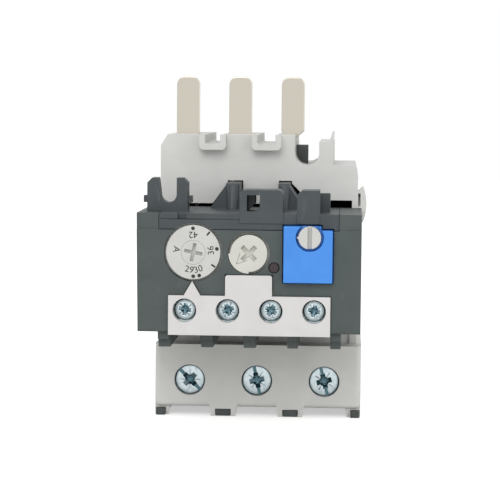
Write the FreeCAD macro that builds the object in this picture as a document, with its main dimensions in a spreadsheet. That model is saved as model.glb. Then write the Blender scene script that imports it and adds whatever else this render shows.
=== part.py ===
import FreeCAD, Part
import math
import os
import Sketcher

# Thermal overload relay, in millimetres.
# X runs to the right, Y from the front to the back, Z up. The origin is under the middle of the part.

SIZES = {
    # Levels from front to back
    "button_face": -38.0,
    "fascia_face": -37.0,
    "cover_face": -36.0,
    "block_face": -10.0,
    "housing_face": -4.0,
    "rear_face": 38.0,
    "back_cover_thick": 2.0,
    "back_lip": 1.5,
    # Base housing
    "housing_width": 52.0,
    "housing_mid": 0.25,
    "housing_top": 73.7,
    "housing_wall": 1.55,
    "front_wall": 2.0,
    "corner_chamfer": 1.8,
    "corner_drop": 2.9,
    "side_step_width": 6.6,
    "side_step_top": 65.9,
    "side_slant": 0.7,
    "side_slant_drop": 3.05,
    "finger_width": 1.2,
    "finger_tip_width": 0.45,
    "finger_lean": 0.3,
    "finger_height": 2.84,
    "finger_depth": 3.0,
    "column_drop": 1.7,
    "block_width": 54.0,
    "block_mid": 0.55,
    "block_bottom": 2.4,
    "block_corner": 1.4,
    "block_lower_edge": 1.2,
    "shelf_height": 18.9,
    "shelf_gap": 5.1,
    "shelf_depth": 10.8,
    "shelf_side_wall": 1.85,
    "shelf_recess": 0.6,
    "foot_height": 3.7,
    "foot_width": 7.7,
    "foot_taper": 0.7,
    "end_foot_width": 4.2,
    "partition_wall": 1.5,
    "chamber_floor": 20.4,
    "chamber_ceiling": 58.0,
    "gallery_ceiling": 64.5,
    "front_chamber_floor": 25.5,
    "window_sill": 50.0,
    "window_head": 55.6,
    "window_head_right": 56.7,
    "notch_1_width": 4.0,
    "notch_2_width": 4.75,
    "notch_floor": 71.2,
    "notch_shift": 0.6,
    "notch_rim": 1.5,
    "notch_round": 0.6,
    "rim_round": 1.2,
    "rim_proud": 3.0,
    "gauge_notch_mid": 12.73,
    "gauge_notch_width": 6.4,
    "gauge_notch_floor": 65.8,
    "gauge_notch_depth": 18.0,
    "ear_bottom": 51.1,
    "ear_height": 9.4,
    "ear_shoulder": 2.0,
    "ear_foot_proud": 0.45,
    "ear_bulge": 12.3,
    "ear_slot": 1.3,
    "ear_slot_width": 0.6,
    "ear_slot_bottom": 4.1,
    "ear_slot_height": 3.4,
    "ear_slot_depth": 2.5,
    "ear_thick": 4.0,
    "panel_recess": 0.4,
    "side_panel_front": 3.0,
    "side_panel_back": 31.0,
    "side_panel_bottom": 26.0,
    "side_panel_top": 55.0,
    # Phases, blades and strips
    "phase_pitch": 17.63,
    "phase_mid": 0.34,
    "blade_pitch": 14.1,
    "blade_mid": -5.5,
    "blade_width": 6.2,
    "blade_thick": 2.0,
    "blade_face": 8.0,
    "blade_top": 89.0,
    "blade_round": 2.2,
    "blade_shoulder": 74.7,
    "blade_neck_top": 72.5,
    "blade_neck_inset": 0.3,
    "blade_neck_width": 3.4,
    "blade_arm_bottom": 59.5,
    "blade_arm_height": 3.0,
    "blade_tab_depth": 8.0,
    "blade_tab_width": 5.0,
    "blade_tab_thick": 2.0,
    "strip_thick": 1.0,
    "strip_width": 6.0,
    "strip_front": 10.0,
    "strip_bottom": 27.0,
    "winding_wall": 1.15,
    "winding_bottom": 34.0,
    "winding_turn": 1.0,
    "winding_pitch": 3.0,
    "winding_turns": 5,
    "winding_depth": 0.5,
    "insulator_depth": 3.6,
    "insulator_height": 5.1,
    # Main terminals
    "screw_height": 9.44,
    "screw_well": 8.1,
    "chamber_width": 12.6,
    "chamber_top": 15.0,
    "chamber_front_wall": 1.8,
    "screw_head": 7.5,
    "screw_head_thick": 2.4,
    "screw_sunk": 1.0,
    "screw_shank": 4.0,
    "screw_slot": 1.1,
    "screw_slot_depth": 1.3,
    "cage_wall": 1.0,
    "cage_inner_width": 10.0,
    "cage_front": -3.4,
    "cage_front_wall": 1.6,
    "cage_back": 9.6,
    "cage_bottom": 4.9,
    "cage_height": 7.5,
    "bar_face": 2.0,
    "bar_thick": 1.5,
    "bar_width": 6.0,
    "bar_bottom": 3.4,
    "bar_bend": 14.4,
    "bar_rear": 17.5,
    "bar_top": 26.0,
    # Terminal carrier
    "carrier_plate_front": 11.0,
    "carrier_plate_thick": 2.0,
    "carrier_plate_top": 18.0,
    "rail_height": 1.8,
    "rail_width": 3.9,
    "end_rail_width": 2.35,
    "rail_set_back": 0.25,
    # Front cover
    "cover_width": 55.7,
    "cover_mid": -0.7,
    "cover_draft": 0.35,
    "cover_bottom": 25.2,
    "cover_top": 54.8,
    "cover_wall": 1.6,
    "cover_floor_wall": 1.0,
    "cover_front_wall": 1.8,
    "cover_edge": 0.5,
    "rib_bottom": 21.0,
    "rib_back": -11.0,
    "rib_width": 3.0,
    "rib_inner_width": 2.6,
    "rib_step": 2.2,
    "entry_back": -13.0,
    # Bracket on the cover
    "bracket_left": -23.0,
    "bracket_width": 44.5,
    "bracket_lip_bottom": 50.8,
    "bracket_plate": 1.6,
    "bracket_lip": 2.0,
    "band_step": 0.35,
    "line_height": 2.3,
    "line_depth": 0.15,
    "line_width": 0.25,
    "bracket_slot": 4.65,
    "bracket_slot_width": 2.1,
    "bracket_slot_height": 1.4,
    "fork_left": -26.65,
    "fork_width": 10.2,
    "fork_top": 63.2,
    "fork_slot": 4.6,
    "fork_slot_taper": 0.5,
    "fork_slot_floor": 57.0,
    "fork_face": -29.0,
    "fork_thick": 5.0,
    "fork_chamfer": 1.2,
    "fork_nub": 1.0,
    "fork_nub_height": 1.7,
    "middle_block_left": -3.05,
    "middle_block_width": 10.8,
    "block_height": 5.9,
    "block_foot": 2.4,
    "block_round": 1.3,
    "block_depth": 8.0,
    "window_left": -1.25,
    "window_width": 3.2,
    "window_height": 4.0,
    "right_block_left": 11.15,
    "right_block_width": 5.6,
    "panel_width": 2.5,
    "panel_front": -26.0,
    "panel_thick": 1.6,
    "panel_top": 59.6,
    "left_post": -7.75,
    "left_post_width": 3.5,
    "right_post": 5.75,
    "right_post_width": 2.85,
    "post_front": -16.0,
    "post_end": -2.5,
    "post_height": 6.6,
    "post_round": 3.0,
    "gusset_width": 3.9,
    "gusset_height": 5.9,
    # Fascia and auxiliary terminals
    "aux_pitch": 10.7,
    "aux_mid": -0.42,
    "fascia_width": 40.15,
    "fascia_thick": 2.0,
    "fascia_bottom": 24.6,
    "fascia_top": 34.45,
    "tab_left": -6.4,
    "tab_width": 11.6,
    "tab_gap": 0.35,
    "pointer_mid": -14.6,
    "pointer_width": 4.15,
    "pointer_gap": 0.35,
    "aux_screw_height": 30.75,
    "aux_hole": 5.9,
    "aux_head": 5.4,
    "aux_head_front": -34.6,
    "aux_head_thick": 2.4,
    "aux_shank": 3.4,
    "aux_shank_length": 8.0,
    "aux_plate_width": 7.2,
    "aux_clamp_thick": 1.0,
    "aux_clamp_height": 6.8,
    "aux_open_gap": 0.4,
    "aux_plate_thick": 1.2,
    "aux_plate_bottom": 27.0,
    "aux_leg_back": -16.5,
    "contact_button": 2.4,
    "contact_thick": 0.8,
    # Contact carrier and rocker
    "carrier_floor": 34.0,
    "carrier_floor_thick": 1.6,
    "carrier_wall_front": -8.0,
    "carrier_wall_thick": 2.0,
    "carrier_wall_top": 49.8,
    "rocker_pivot": 41.6,
    "rocker_front": -21.5,
    "rocker_depth": 6.0,
    "rocker_hub": 6.0,
    "rocker_arm_thick": 2.6,
    "rocker_reach": 17.4,
    "rocker_finger": 20.2,
    "rocker_boss_gap": 0.3,
    "rocker_finger_top": 51.0,
    "rocker_finger_thick": 1.2,
    "rocker_angle": 5.0,
    "pivot_pin": 2.4,
    "bridge_thick": 0.6,
    "bridge_width": 4.0,
    "bridge_button": 0.5,
    "contact_gap": 0.05,
    # Dial, selector, test pin
    "dial_mid": -14.44,
    "dial_drop": 5.7,
    "dial_width": 13.5,
    "dial_face": -35.8,
    "dial_recess": 14.5,
    "dial_flange": 15.6,
    "dial_flange_thick": 0.9,
    "dial_cross": 4.5,
    "dial_cross_slot": 0.8,
    "dial_cross_depth": 1.0,
    "dial_cross_angle": 11.0,
    "dial_shaft": 4.0,
    "dial_shaft_end": -23.6,
    "cam_front": -26.2,
    "cam_thick": 1.8,
    "cam_start": 4.8,
    "cam_rise": 1.2,
    "cam_margin": 10,
    "cam_sweep": 182.0,
    "lever_gap": 0.35,
    "lever_width": 2.0,
    "lever_offset": 3.9,
    "lever_pivot_drop": 6.7,
    "lever_top": 47.5,
    "lever_hub": 4.4,
    "lever_pin": 2.0,
    "disc_mid": -0.65,
    "disc_drop": 5.8,
    "disc_width": 9.2,
    "disc_lobe": 10.1,
    "disc_face": -36.2,
    "disc_hole": 10.4,
    "disc_flange": 10.8,
    "disc_flange_thick": 0.9,
    "disc_cross": 4.7,
    "disc_cross_slot": 1.05,
    "disc_shaft": 3.0,
    "disc_shaft_end": -29.0,
    "test_mid": 5.62,
    "test_height": 41.49,
    "test_pin_width": 2.4,
    "test_hole": 2.75,
    "test_face": -36.1,
    "test_collar": 3.2,
    "test_collar_thick": 0.9,
    "test_gap": 1.8,
    # Reset button and knob
    "button_left": 7.95,
    "button_width": 12.1,
    "button_bottom": 37.95,
    "button_height": 14.0,
    "button_depth": 5.4,
    "button_gap": 0.3,
    "button_flange": 0.8,
    "button_round": 0.6,
    "button_step_left": 17.2,
    "button_step": 1.0,
    "stem_mid": 14.0,
    "stem_height": 47.3,
    "stem_width": 3.0,
    "stem_end": -16.0,
    "knob_mid": 14.4,
    "knob_height": 49.15,
    "knob_width": 5.6,
    "knob_nose": 3.3,
    "knob_hole": 6.9,
    "knob_thick": 2.2,
    "knob_slot": 1.0,
    "knob_shaft": 2.0,
    "spring_wire": 0.5,
    "spring_coils": 3,
    "spring_width": 4.4,
    # Sliders and compensation lever
    "slider_front": 18.0,
    "slider_thick": 1.8,
    "slider_bottom": 26.8,
    "slider_height": 4.0,
    "slider_gap": 0.2,
    "second_slider_height": 2.0,
    "finger_gap": 0.3,
    "finger_thick": 1.5,
    "finger_front": 11.0,
    "slider_window": 7.0,
    "compensation_face": -22.0,
    "compensation_thick": 1.0,
    "compensation_front": 22.0,
    "compensation_width": 4.0,
    "compensation_pivot": 45.0,
    "compensation_bottom": 26.0,
    "compensation_arm": 50.2,
    "compensation_arm_height": 2.2,
    "compensation_arm_front": -19.0,
    "compensation_hub": 3.8,
    "swing_post": 1.8,
    "swing_lever_thick": 1.2,
    # Back cover screws
    "tapping_screw": 2.8,
    "tapping_length": 9.0,
    "tapping_head": 5.2,
    "tapping_head_thick": 1.2,
    "tapping_low": 9.0,
    "tapping_high": 68.2,
    # Clearances
    "fit": 0.1,
    "slack": 0.3,
}

doc = FreeCAD.newDocument("ThermalOverloadRelay")
sheet = doc.addObject("Spreadsheet::Sheet", "Sizes")
for row, (alias, number) in enumerate(SIZES.items(), start=1):
    sheet.set(f"A{row}", alias.replace("_", " "))
    sheet.set(f"B{row}", str(number))
    sheet.setAlias(f"B{row}", alias)
doc.recompute()


class Dim:
    """A length or an angle: its number now, and the spreadsheet expression that gives it."""

    def __init__(self, number, text):
        self.number = float(number)
        self.text = text

    @staticmethod
    def of(other):
        return other if isinstance(other, Dim) else Dim(other, repr(other))

    def join(self, other, sign, number):
        return Dim(number, f"({self.text} {sign} {other.text})")

    def __add__(self, other):
        other = Dim.of(other)
        return self.join(other, "+", self.number + other.number)

    def __sub__(self, other):
        other = Dim.of(other)
        return self.join(other, "-", self.number - other.number)

    def __mul__(self, other):
        other = Dim.of(other)
        return self.join(other, "*", self.number * other.number)

    def __truediv__(self, other):
        other = Dim.of(other)
        return self.join(other, "/", self.number / other.number)

    def __radd__(self, other):
        return Dim.of(other) + self

    def __rsub__(self, other):
        return Dim.of(other) - self

    def __rmul__(self, other):
        return Dim.of(other) * self

    def __neg__(self):
        return Dim(-self.number, f"(0 - {self.text})")

    def sine(self):
        return Dim(math.sin(math.radians(self.number)), f"sin({self.text} * 1 deg)")

    def cosine(self):
        return Dim(math.cos(math.radians(self.number)), f"cos({self.text} * 1 deg)")


class Sheet:
    """The driving dimensions, by name."""

    def __getattr__(self, alias):
        return Dim(sheet.get(alias), f"Sizes.{alias}")


s = Sheet()
ZERO = Dim(0, "0")
PHASES = range(3)
TERMINALS = range(4)
CAM_RISE = range(9)
CAM_LEVEL = range(4)
pieces = []
loose = []


# Outlines of sketches

class Rect:
    """A rectangle between two levels each way."""

    def __init__(self, left, right, bottom, top):
        self.corners = [(left, bottom), (right, bottom), (right, top), (left, top)]

    def draw(self, sketch):
        Polygon(*self.corners).draw(sketch)


class Circle:
    """A circle about a centre."""

    def __init__(self, across, up, width):
        self.centre = (Dim.of(across), Dim.of(up))
        self.radius = Dim.of(width) / 2

    def draw(self, sketch):
        across, up = self.centre
        centre = FreeCAD.Vector(across.number, up.number, 0)
        edge = sketch.addGeometry(Part.Circle(centre, FreeCAD.Vector(0, 0, 1), self.radius.number))
        place_point(sketch, edge, 3, self.centre)
        tie(sketch, Sketcher.Constraint("Radius", edge, self.radius.number), self.radius)


class Polygon:
    """A closed outline; a corner with a third value is reached by an arc of that radius.

    The arc bulges to the right of the way drawn, and with a radius below zero to its left."""

    def __init__(self, *corners):
        self.corners = [tuple(Dim.of(value) for value in corner) for corner in corners]

    def draw(self, sketch):
        points = [FreeCAD.Vector(corner[0].number, corner[1].number, 0) for corner in self.corners]
        count = len(points)
        first = sketch.GeometryCount
        starts = []
        for index in range(count):
            after = self.corners[(index + 1) % count]
            begin, end = points[index], points[(index + 1) % count]
            if len(after) == 3:
                sketch.addGeometry(arc_between(begin, end, after[2].number))
                starts.append(1 if after[2].number > 0 else 2)
            else:
                sketch.addGeometry(Part.LineSegment(begin, end))
                starts.append(1)
        for index in range(count):
            following = (index + 1) % count
            sketch.addConstraint(Sketcher.Constraint(
                "Coincident", first + index, 3 - starts[index], first + following, starts[following]))
            place_point(sketch, first + index, starts[index], self.corners[index])
        for index in range(count):
            after = self.corners[(index + 1) % count]
            if len(after) == 3:
                radius = Dim(abs(after[2].number), f"abs({after[2].text})")
                tie(sketch, Sketcher.Constraint("Radius", first + index, radius.number), radius)


def arc_between(begin, end, radius):
    """The shorter arc between two points, bulging right of the way drawn, or left below zero."""
    chord = end - begin
    half = chord.Length / 2
    inset = math.copysign(math.sqrt(max(radius * radius - half * half, 0.0)), radius)
    left = FreeCAD.Vector(-chord.y, chord.x, 0).normalize()
    centre = (begin + end) * 0.5 + left * inset
    first, last = (begin, end) if radius > 0 else (end, begin)
    angles = [math.atan2(point.y - centre.y, point.x - centre.x) for point in (first, last)]
    circle = Part.Circle(centre, FreeCAD.Vector(0, 0, 1), abs(radius))
    return Part.ArcOfCircle(circle, *angles)


def tie(sketch, constraint, dim):
    """Add a constraint and bind its value to the sheet."""
    index = sketch.addConstraint(constraint)
    sketch.setExpression(f"Constraints[{index}]", dim.text)


def place_point(sketch, edge, position, corner):
    """Hold one point of an edge at its place."""
    tie(sketch, Sketcher.Constraint("DistanceX", -1, 1, edge, position, corner[0].number), corner[0])
    tie(sketch, Sketcher.Constraint("DistanceY", -1, 1, edge, position, corner[1].number), corner[1])


class Piece:
    """A moulded, stamped or turned piece, made as one body.

    A pad fills its outline between two levels, and a pocket empties it. The plane is named by its
    two axes: XZ is seen from the front, YZ from the right and XY from above."""

    SIGN = {"XY": 1, "XZ": -1, "YZ": 1}

    def __init__(self, label, across=ZERO, depth=ZERO, up=ZERO, turn=None):
        self.label = label
        self.body = doc.addObject("PartDesign::Body", label)
        self.body.Label = label
        self.steps = 0
        for axis, place in zip("xyz", (across, depth, up)):
            if place is not ZERO:
                self.body.setExpression(f".Placement.Base.{axis}", Dim.of(place).text)
        if turn is not None:
            self.body.Placement.Rotation = FreeCAD.Rotation(FreeCAD.Vector(0, 1, 0), 1)
            self.body.setExpression(".Placement.Rotation.Angle", Dim.of(turn).text)
        pieces.append(self)

    def sketch(self, plane, level, outlines):
        """Draw outlines on one of the body's planes, moved to a level along its normal."""
        self.steps += 1
        drawing = self.body.newObject("Sketcher::SketchObject", f"{self.label}_sketch_{self.steps}")
        features = self.body.Origin.OriginFeatures
        base = next(feature for feature in features if feature.Role == f"{plane}_Plane")
        drawing.AttachmentSupport = (base, "")
        drawing.MapMode = "FlatFace"
        if level is not None:
            offset = level if self.SIGN[plane] > 0 else -level
            drawing.setExpression(".AttachmentOffset.Base.z", offset.text)
        for outline in outlines:
            outline.draw(drawing)
        return drawing

    def pad(self, plane, low, high, *outlines):
        """Fill the outlines from one level to a higher one."""
        low, high = Dim.of(low), Dim.of(high)
        drawing = self.sketch(plane, low if self.SIGN[plane] > 0 else high, outlines)
        feature = self.body.newObject("PartDesign::Pad", f"{self.label}_pad_{self.steps}")
        feature.Profile = drawing
        feature.setExpression("Length", (high - low).text)
        return feature

    def pocket(self, plane, low, high, *outlines):
        """Empty the outlines from one level to a higher one."""
        low, high = Dim.of(low), Dim.of(high)
        drawing = self.sketch(plane, high if self.SIGN[plane] > 0 else low, outlines)
        feature = self.body.newObject("PartDesign::Pocket", f"{self.label}_pocket_{self.steps}")
        feature.Profile = drawing
        feature.setExpression("Length", (high - low).text)
        return feature

    def turned(self, *corners):
        """Turn an outline of (radius, depth) corners round the body's own Y axis."""
        drawing = self.sketch("XY", None, [Polygon(*corners)])
        feature = self.body.newObject("PartDesign::Revolution", f"{self.label}_turned_{self.steps}")
        feature.Profile = drawing
        feature.ReferenceAxis = (drawing, ["V_Axis"])
        feature.Angle = 360
        return feature

    def repeat(self, feature, direction, length, count):
        """Repeat a feature along the normal of its own sketch."""
        self.steps += 1
        pattern = self.body.newObject("PartDesign::LinearPattern", f"{self.label}_row_{self.steps}")
        pattern.Originals = [feature]
        pattern.Direction = direction
        pattern.setExpression("Length", length.text)
        pattern.setExpression("Occurrences", count.text)
        self.body.Tip = pattern
        return pattern

    def soften(self, kind, size, axis, *places):
        """Round or chamfer the edges that run along an axis through the places named."""
        doc.recompute()
        before = self.body.Tip
        names = [name for name, edge in named_edges(before.Shape) if lies_at(edge, axis, places)]
        if not names:
            raise RuntimeError(f"{self.label}: no edge along {axis} at the places named")
        self.steps += 1
        feature = self.body.newObject(f"PartDesign::{kind}", f"{self.label}_{kind}_{self.steps}")
        feature.Base = (before, names)
        feature.setExpression("Radius" if kind == "Fillet" else "Size", size.text)
        return feature


def named_edges(shape):
    return [(f"Edge{index}", edge) for index, edge in enumerate(shape.Edges, start=1)]


def lies_at(edge, axis, places):
    """Whether a straight edge runs along an axis through one of the places, given by the other two axes."""
    if len(edge.Vertexes) != 2 or not isinstance(edge.Curve, Part.Line):
        return False
    index = "XYZ".index(axis)
    others = [number for number in range(3) if number != index]
    begin, end = (vertex.Point for vertex in edge.Vertexes)
    if any(abs(begin[number] - end[number]) > 1e-4 for number in others):
        return False
    return any(
        all(abs(begin[number] - Dim.of(value).number) < 1e-3 for number, value in zip(others, place))
        for place in places)


# Places that several pieces share

def phase(index):
    return s.phase_mid + (index - 1) * s.phase_pitch


def blade(index):
    return s.blade_mid + (index - 1) * s.blade_pitch


def terminal(index):
    return s.aux_mid + (index - 1.5) * s.aux_pitch


def between_phases(index):
    """Middle of the barrier before a phase, from 0 at the left wall to 3 at the right."""
    return phase(index) - s.phase_pitch / 2


def strip_of(middle, width):
    return middle - width / 2, middle + width / 2


housing_left, housing_right = strip_of(s.housing_mid, s.housing_width)
block_left, block_right = strip_of(s.block_mid, s.block_width)
cover_left, cover_right = strip_of(s.cover_mid, s.cover_width)
cavity_left = housing_left + s.housing_wall
cavity_right = housing_right - s.housing_wall
cover_back = s.housing_face - s.fit
housing_back = s.rear_face - s.back_cover_thick
cover_inside = s.cover_face + s.cover_front_wall
lip_face = s.cover_face + s.band_step
dial_height = s.bracket_lip_bottom - s.dial_drop
disc_height = s.bracket_lip_bottom - s.disc_drop
lever_pivot_height = dial_height - s.lever_pivot_drop
tab_top = disc_height - s.disc_lobe / 2 - s.tab_gap
pointer_top = dial_height - s.dial_width / 2 - s.pointer_gap
cover_ceiling = s.cover_top - s.cover_wall
cover_floor = s.cover_bottom + s.cover_floor_wall
bracket_right = s.bracket_left + s.bracket_width
button_right = s.button_left + s.button_width
button_top = s.button_bottom + s.button_height
button_back = s.button_face + s.button_depth
bar_floor = s.bar_bend - s.bar_thick
blade_back = s.blade_face + s.blade_thick
arm_top = s.blade_arm_bottom + s.blade_arm_height
strip_back = s.strip_front + s.strip_width
slider_back = s.slider_front + s.slider_thick
slider_top = s.slider_bottom + s.slider_height
second_bottom = slider_top + s.slider_gap
second_top = second_bottom + s.second_slider_height
compensation_back = s.compensation_front + s.compensation_width
compensation_mid = s.compensation_face + s.compensation_thick / 2
nose_face = s.compensation_face + s.compensation_thick + s.finger_gap
swing_depth = s.compensation_front - 0.8 * s.swing_post
carrier_floor_top = s.carrier_floor + s.carrier_floor_thick
carrier_wall_back = s.carrier_wall_front + s.carrier_wall_thick
aux_plate_front = s.aux_head_front + s.aux_head_thick + s.aux_clamp_thick + s.aux_open_gap
aux_plate_back = aux_plate_front + s.aux_plate_thick
aux_leg_top = carrier_floor_top + s.aux_plate_thick
contact_top = aux_leg_top + s.contact_thick
bridge_bottom = contact_top + s.contact_gap + s.bridge_button
bridge_top = bridge_bottom + s.bridge_thick
rocker_back = s.rocker_front + s.rocker_depth
contact_depth = s.rocker_front + s.rocker_depth / 2
lever_face = s.dial_mid - s.cam_start - s.lever_gap
lever_pivot = lever_face - s.lever_offset
cam_back = s.cam_front + s.cam_thick
rail_front = s.block_face + s.rail_set_back
rib_edges = [terminal(index) - s.aux_pitch / 2 for index in range(5)]


# Housing

def base_housing():
    """Light grey moulding that holds the three phases, open at the back."""
    piece = Piece("base_housing")
    column_left = s.gauge_notch_mid + s.gauge_notch_width / 2 - s.slack
    column_top = s.housing_top - s.column_drop
    step_left = housing_right - s.side_step_width
    slant_left = housing_right - s.side_slant
    piece.pad("XZ", s.block_face, housing_back, Rect(block_left, block_right, s.block_bottom, s.shelf_height))
    piece.soften("Fillet", s.block_corner, "Z", (block_left, s.block_face), (block_right, s.block_face))
    piece.soften("Fillet", s.block_lower_edge, "X", (s.block_face, s.block_bottom))
    piece.pad("XZ", s.housing_face, housing_back, Polygon(
        (housing_left, s.block_bottom + 1),
        (housing_right, s.block_bottom + 1),
        (housing_right, s.side_step_top - s.side_slant_drop),
        (slant_left, s.side_step_top),
        (step_left, s.side_step_top),
        (step_left, column_top),
        (column_left, column_top),
        (column_left, s.housing_top),
        (housing_left + s.corner_chamfer, s.housing_top),
        (housing_left, s.housing_top - s.corner_drop)))
    finger_tip = step_left + s.finger_lean
    finger_top = column_top + s.finger_height
    piece.pad("XZ", s.housing_face, s.housing_face + s.finger_depth, Polygon(
        (step_left - s.finger_width, column_top - s.slack),
        (step_left, column_top - s.slack),
        (step_left, column_top),
        (finger_tip, finger_top),
        (finger_tip - s.finger_tip_width, finger_top)))
    barrier_feet(piece)
    terminal_chambers(piece)
    strip_chambers(piece)
    front_window(piece)
    blade_channels(piece)
    side_ear(piece)
    side_panels(piece)
    screw_holes(piece, housing_back - s.tapping_length, housing_back, s.tapping_screw)
    return piece


def barrier_feet(piece):
    """Tapered feet under the barriers, with channels for the carrier's rails."""
    outlines = []
    for index in (1, 2):
        left, right = strip_of(between_phases(index), s.foot_width)
        outlines.append(Polygon(
            (left + s.foot_taper, ZERO), (right - s.foot_taper, ZERO),
            (right, s.foot_height), (left, s.foot_height)))
    inner_left = block_left + s.end_foot_width
    outlines.append(Polygon(
        (block_left, ZERO), (inner_left - s.foot_taper, ZERO),
        (inner_left, s.foot_height), (block_left, s.foot_height)))
    inner_right = block_right - s.end_foot_width
    outlines.append(Polygon(
        (inner_right + s.foot_taper, ZERO), (block_right, ZERO),
        (block_right, s.foot_height), (inner_right, s.foot_height)))
    piece.pad("XZ", s.block_face + s.block_corner, housing_back, *outlines)
    piece.pad("XZ", s.block_face, s.block_face + s.block_corner, *outlines[:2])
    channels = [Rect(left - s.fit, right + s.fit, ZERO - 1, s.rail_height + s.fit)
                for left, right in rail_places()]
    piece.pocket("XZ", s.block_face - 1, s.carrier_plate_front + s.carrier_plate_thick + s.fit, *channels)


def rail_places():
    """Sides of the four rails of the terminal carrier."""
    places = [strip_of(between_phases(index), s.rail_width) for index in (1, 2)]
    left = block_left + s.slack
    right = block_right - s.slack
    return [(left, left + s.end_rail_width), *places, (right - s.end_rail_width, right)]


def terminal_chambers(piece):
    """Room for screws, cages and bars, open below for the wires."""
    plate_back = s.carrier_plate_front + s.carrier_plate_thick + s.fit
    chamber_front = s.block_face + s.chamber_front_wall
    sides = [strip_of(phase(index), s.chamber_width) for index in PHASES]
    piece.pocket("XY", ZERO - 1, s.chamber_top, *[
        Rect(left, right, chamber_front, plate_back) for left, right in sides])
    piece.pocket("XZ", s.block_face - 1, chamber_front + s.fit, *[
        Circle(phase(index), s.screw_height, s.screw_well) for index in PHASES])
    piece.pocket("XZ", s.carrier_plate_front - s.fit, plate_back, Rect(
        cavity_left - s.slack, block_right - (cavity_left - block_left) + s.slack,
        ZERO - 1, s.carrier_plate_top + s.fit))
    piece.pocket("XZ", plate_back - s.fit, housing_back, *[
        Rect(*strip_of(phase(index), s.bar_width + 2 * s.slack), bar_floor - s.slack, s.chamber_floor + 0.1)
        for index in PHASES])


def strip_chambers(piece):
    """A chamber for each heated strip, the gallery above them and the slider's windows."""
    bounds = [cavity_left]
    for index in (1, 2):
        bounds.extend(strip_of(between_phases(index), s.partition_wall))
    bounds.append(cavity_right)
    sides = [(bounds[2 * index], bounds[2 * index + 1]) for index in PHASES]
    inner_face = s.housing_face + s.front_wall
    shelf_back = s.housing_face + s.shelf_depth
    piece.pocket("XZ", shelf_back + s.cover_wall, housing_back, *[
        Rect(left, right, s.chamber_floor, s.chamber_ceiling) for left, right in sides])
    piece.pocket("XZ", inner_face, housing_back, *[
        Rect(left, right, s.front_chamber_floor, s.chamber_ceiling) for left, right in sides])
    piece.pocket("XZ", inner_face, housing_back, Rect(
        cavity_left, cavity_right, s.chamber_ceiling - 0.1, s.gallery_ceiling))
    window_front = s.finger_front - s.slack
    piece.pocket("XZ", window_front, compensation_back + s.slack, Rect(
        between_phases(1) - s.partition_wall, between_phases(2) + s.partition_wall,
        s.slider_bottom - s.fit, s.slider_bottom + s.slider_window))
    piece.pocket("XZ", s.housing_face - 1, s.housing_face + s.shelf_recess, Rect(
        housing_left + s.shelf_side_wall, housing_right - s.shelf_side_wall,
        s.shelf_height, s.shelf_height + s.shelf_gap))


def front_window(piece):
    """Opening behind the cover's top, with cut-outs round the two posts."""
    left_post_right = s.left_post + s.left_post_width
    right_post_right = s.right_post + s.right_post_width
    post_top = s.cover_top + s.post_height
    foot = s.cover_top + s.gusset_height
    sill = s.window_sill
    piece.pocket("XZ", s.housing_face - 1, s.housing_face + s.front_wall + s.fit, Polygon(
        (cavity_left, sill),
        (cavity_right, sill),
        (cavity_right, s.window_head_right),
        (right_post_right + s.gusset_width + 2 * s.slack, s.window_head_right),
        (right_post_right + s.slack, foot + s.slack),
        (right_post_right + s.slack, post_top + s.slack),
        (s.right_post - s.slack, post_top + s.slack),
        (s.right_post - s.slack, s.window_head),
        (left_post_right + s.slack, s.window_head),
        (left_post_right + s.slack, post_top + s.slack),
        (s.left_post - s.slack, post_top + s.slack),
        (s.left_post - s.slack, foot + s.slack),
        (s.left_post - s.gusset_width - s.slack, s.window_head),
        (cavity_left, s.window_head)))


def blade_channels(piece):
    """Slots for the blades, U channels between them and the notch beside the last."""
    over = s.housing_top + 1
    piece.pocket("XY", s.gallery_ceiling - 0.1, over, *[
        Rect(*strip_of(blade(index), s.blade_width + 2 * s.fit), s.blade_face - s.fit, blade_back + s.fit)
        for index in PHASES])
    notches = list(zip(channel_middles(), (s.notch_1_width, s.notch_2_width)))
    rims = [strip_of(middle, width + 2 * s.notch_rim) for middle, width in notches]
    rim_front = s.housing_face - s.rim_proud
    piece.pad("XZ", rim_front, s.housing_face + 0.5, *[
        channel(left, right, s.notch_floor - s.notch_rim, s.housing_top, s.rim_round) for left, right in rims])
    piece.pocket("XZ", rim_front - 1, housing_back, *[
        channel(*strip_of(middle, width), s.notch_floor, over, s.notch_round) for middle, width in notches])
    left, right = strip_of(s.gauge_notch_mid, s.gauge_notch_width)
    shoulder = s.gauge_notch_floor + s.gauge_notch_width / 2
    radius = s.gauge_notch_width / 2
    piece.pocket("XZ", s.housing_face - 1, s.housing_face + s.gauge_notch_depth, Polygon(
        (left, over),
        (left, shoulder),
        (s.gauge_notch_mid, s.gauge_notch_floor, radius),
        (right, shoulder, radius),
        (right, over)))


def channel(left, right, floor, top, radius):
    """Outline of a channel with rounded lower corners."""
    return Polygon(
        (left, top),
        (left, floor + radius),
        (left + radius, floor, radius),
        (right - radius, floor),
        (right, floor + radius, radius),
        (right, top))


def side_ear(piece):
    """Curved ear on the right flank, with a slot in its face."""
    top = s.ear_bottom + s.ear_height
    root = housing_right - s.housing_wall / 2
    foot = cover_right + s.ear_foot_proud
    slot_right = foot - s.ear_slot + s.ear_slot_width
    slot_bottom = s.ear_bottom + s.ear_slot_bottom
    piece.pad("XZ", s.housing_face, s.housing_face + s.ear_thick, Polygon(
        (root, s.ear_bottom),
        (foot, s.ear_bottom),
        (foot, top, s.ear_bulge),
        (root, top - s.ear_shoulder)))
    piece.pocket("XZ", s.housing_face - 1, s.housing_face + s.ear_slot_depth, Rect(
        foot - s.ear_slot, slot_right, slot_bottom, slot_bottom + s.ear_slot_height))


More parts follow.
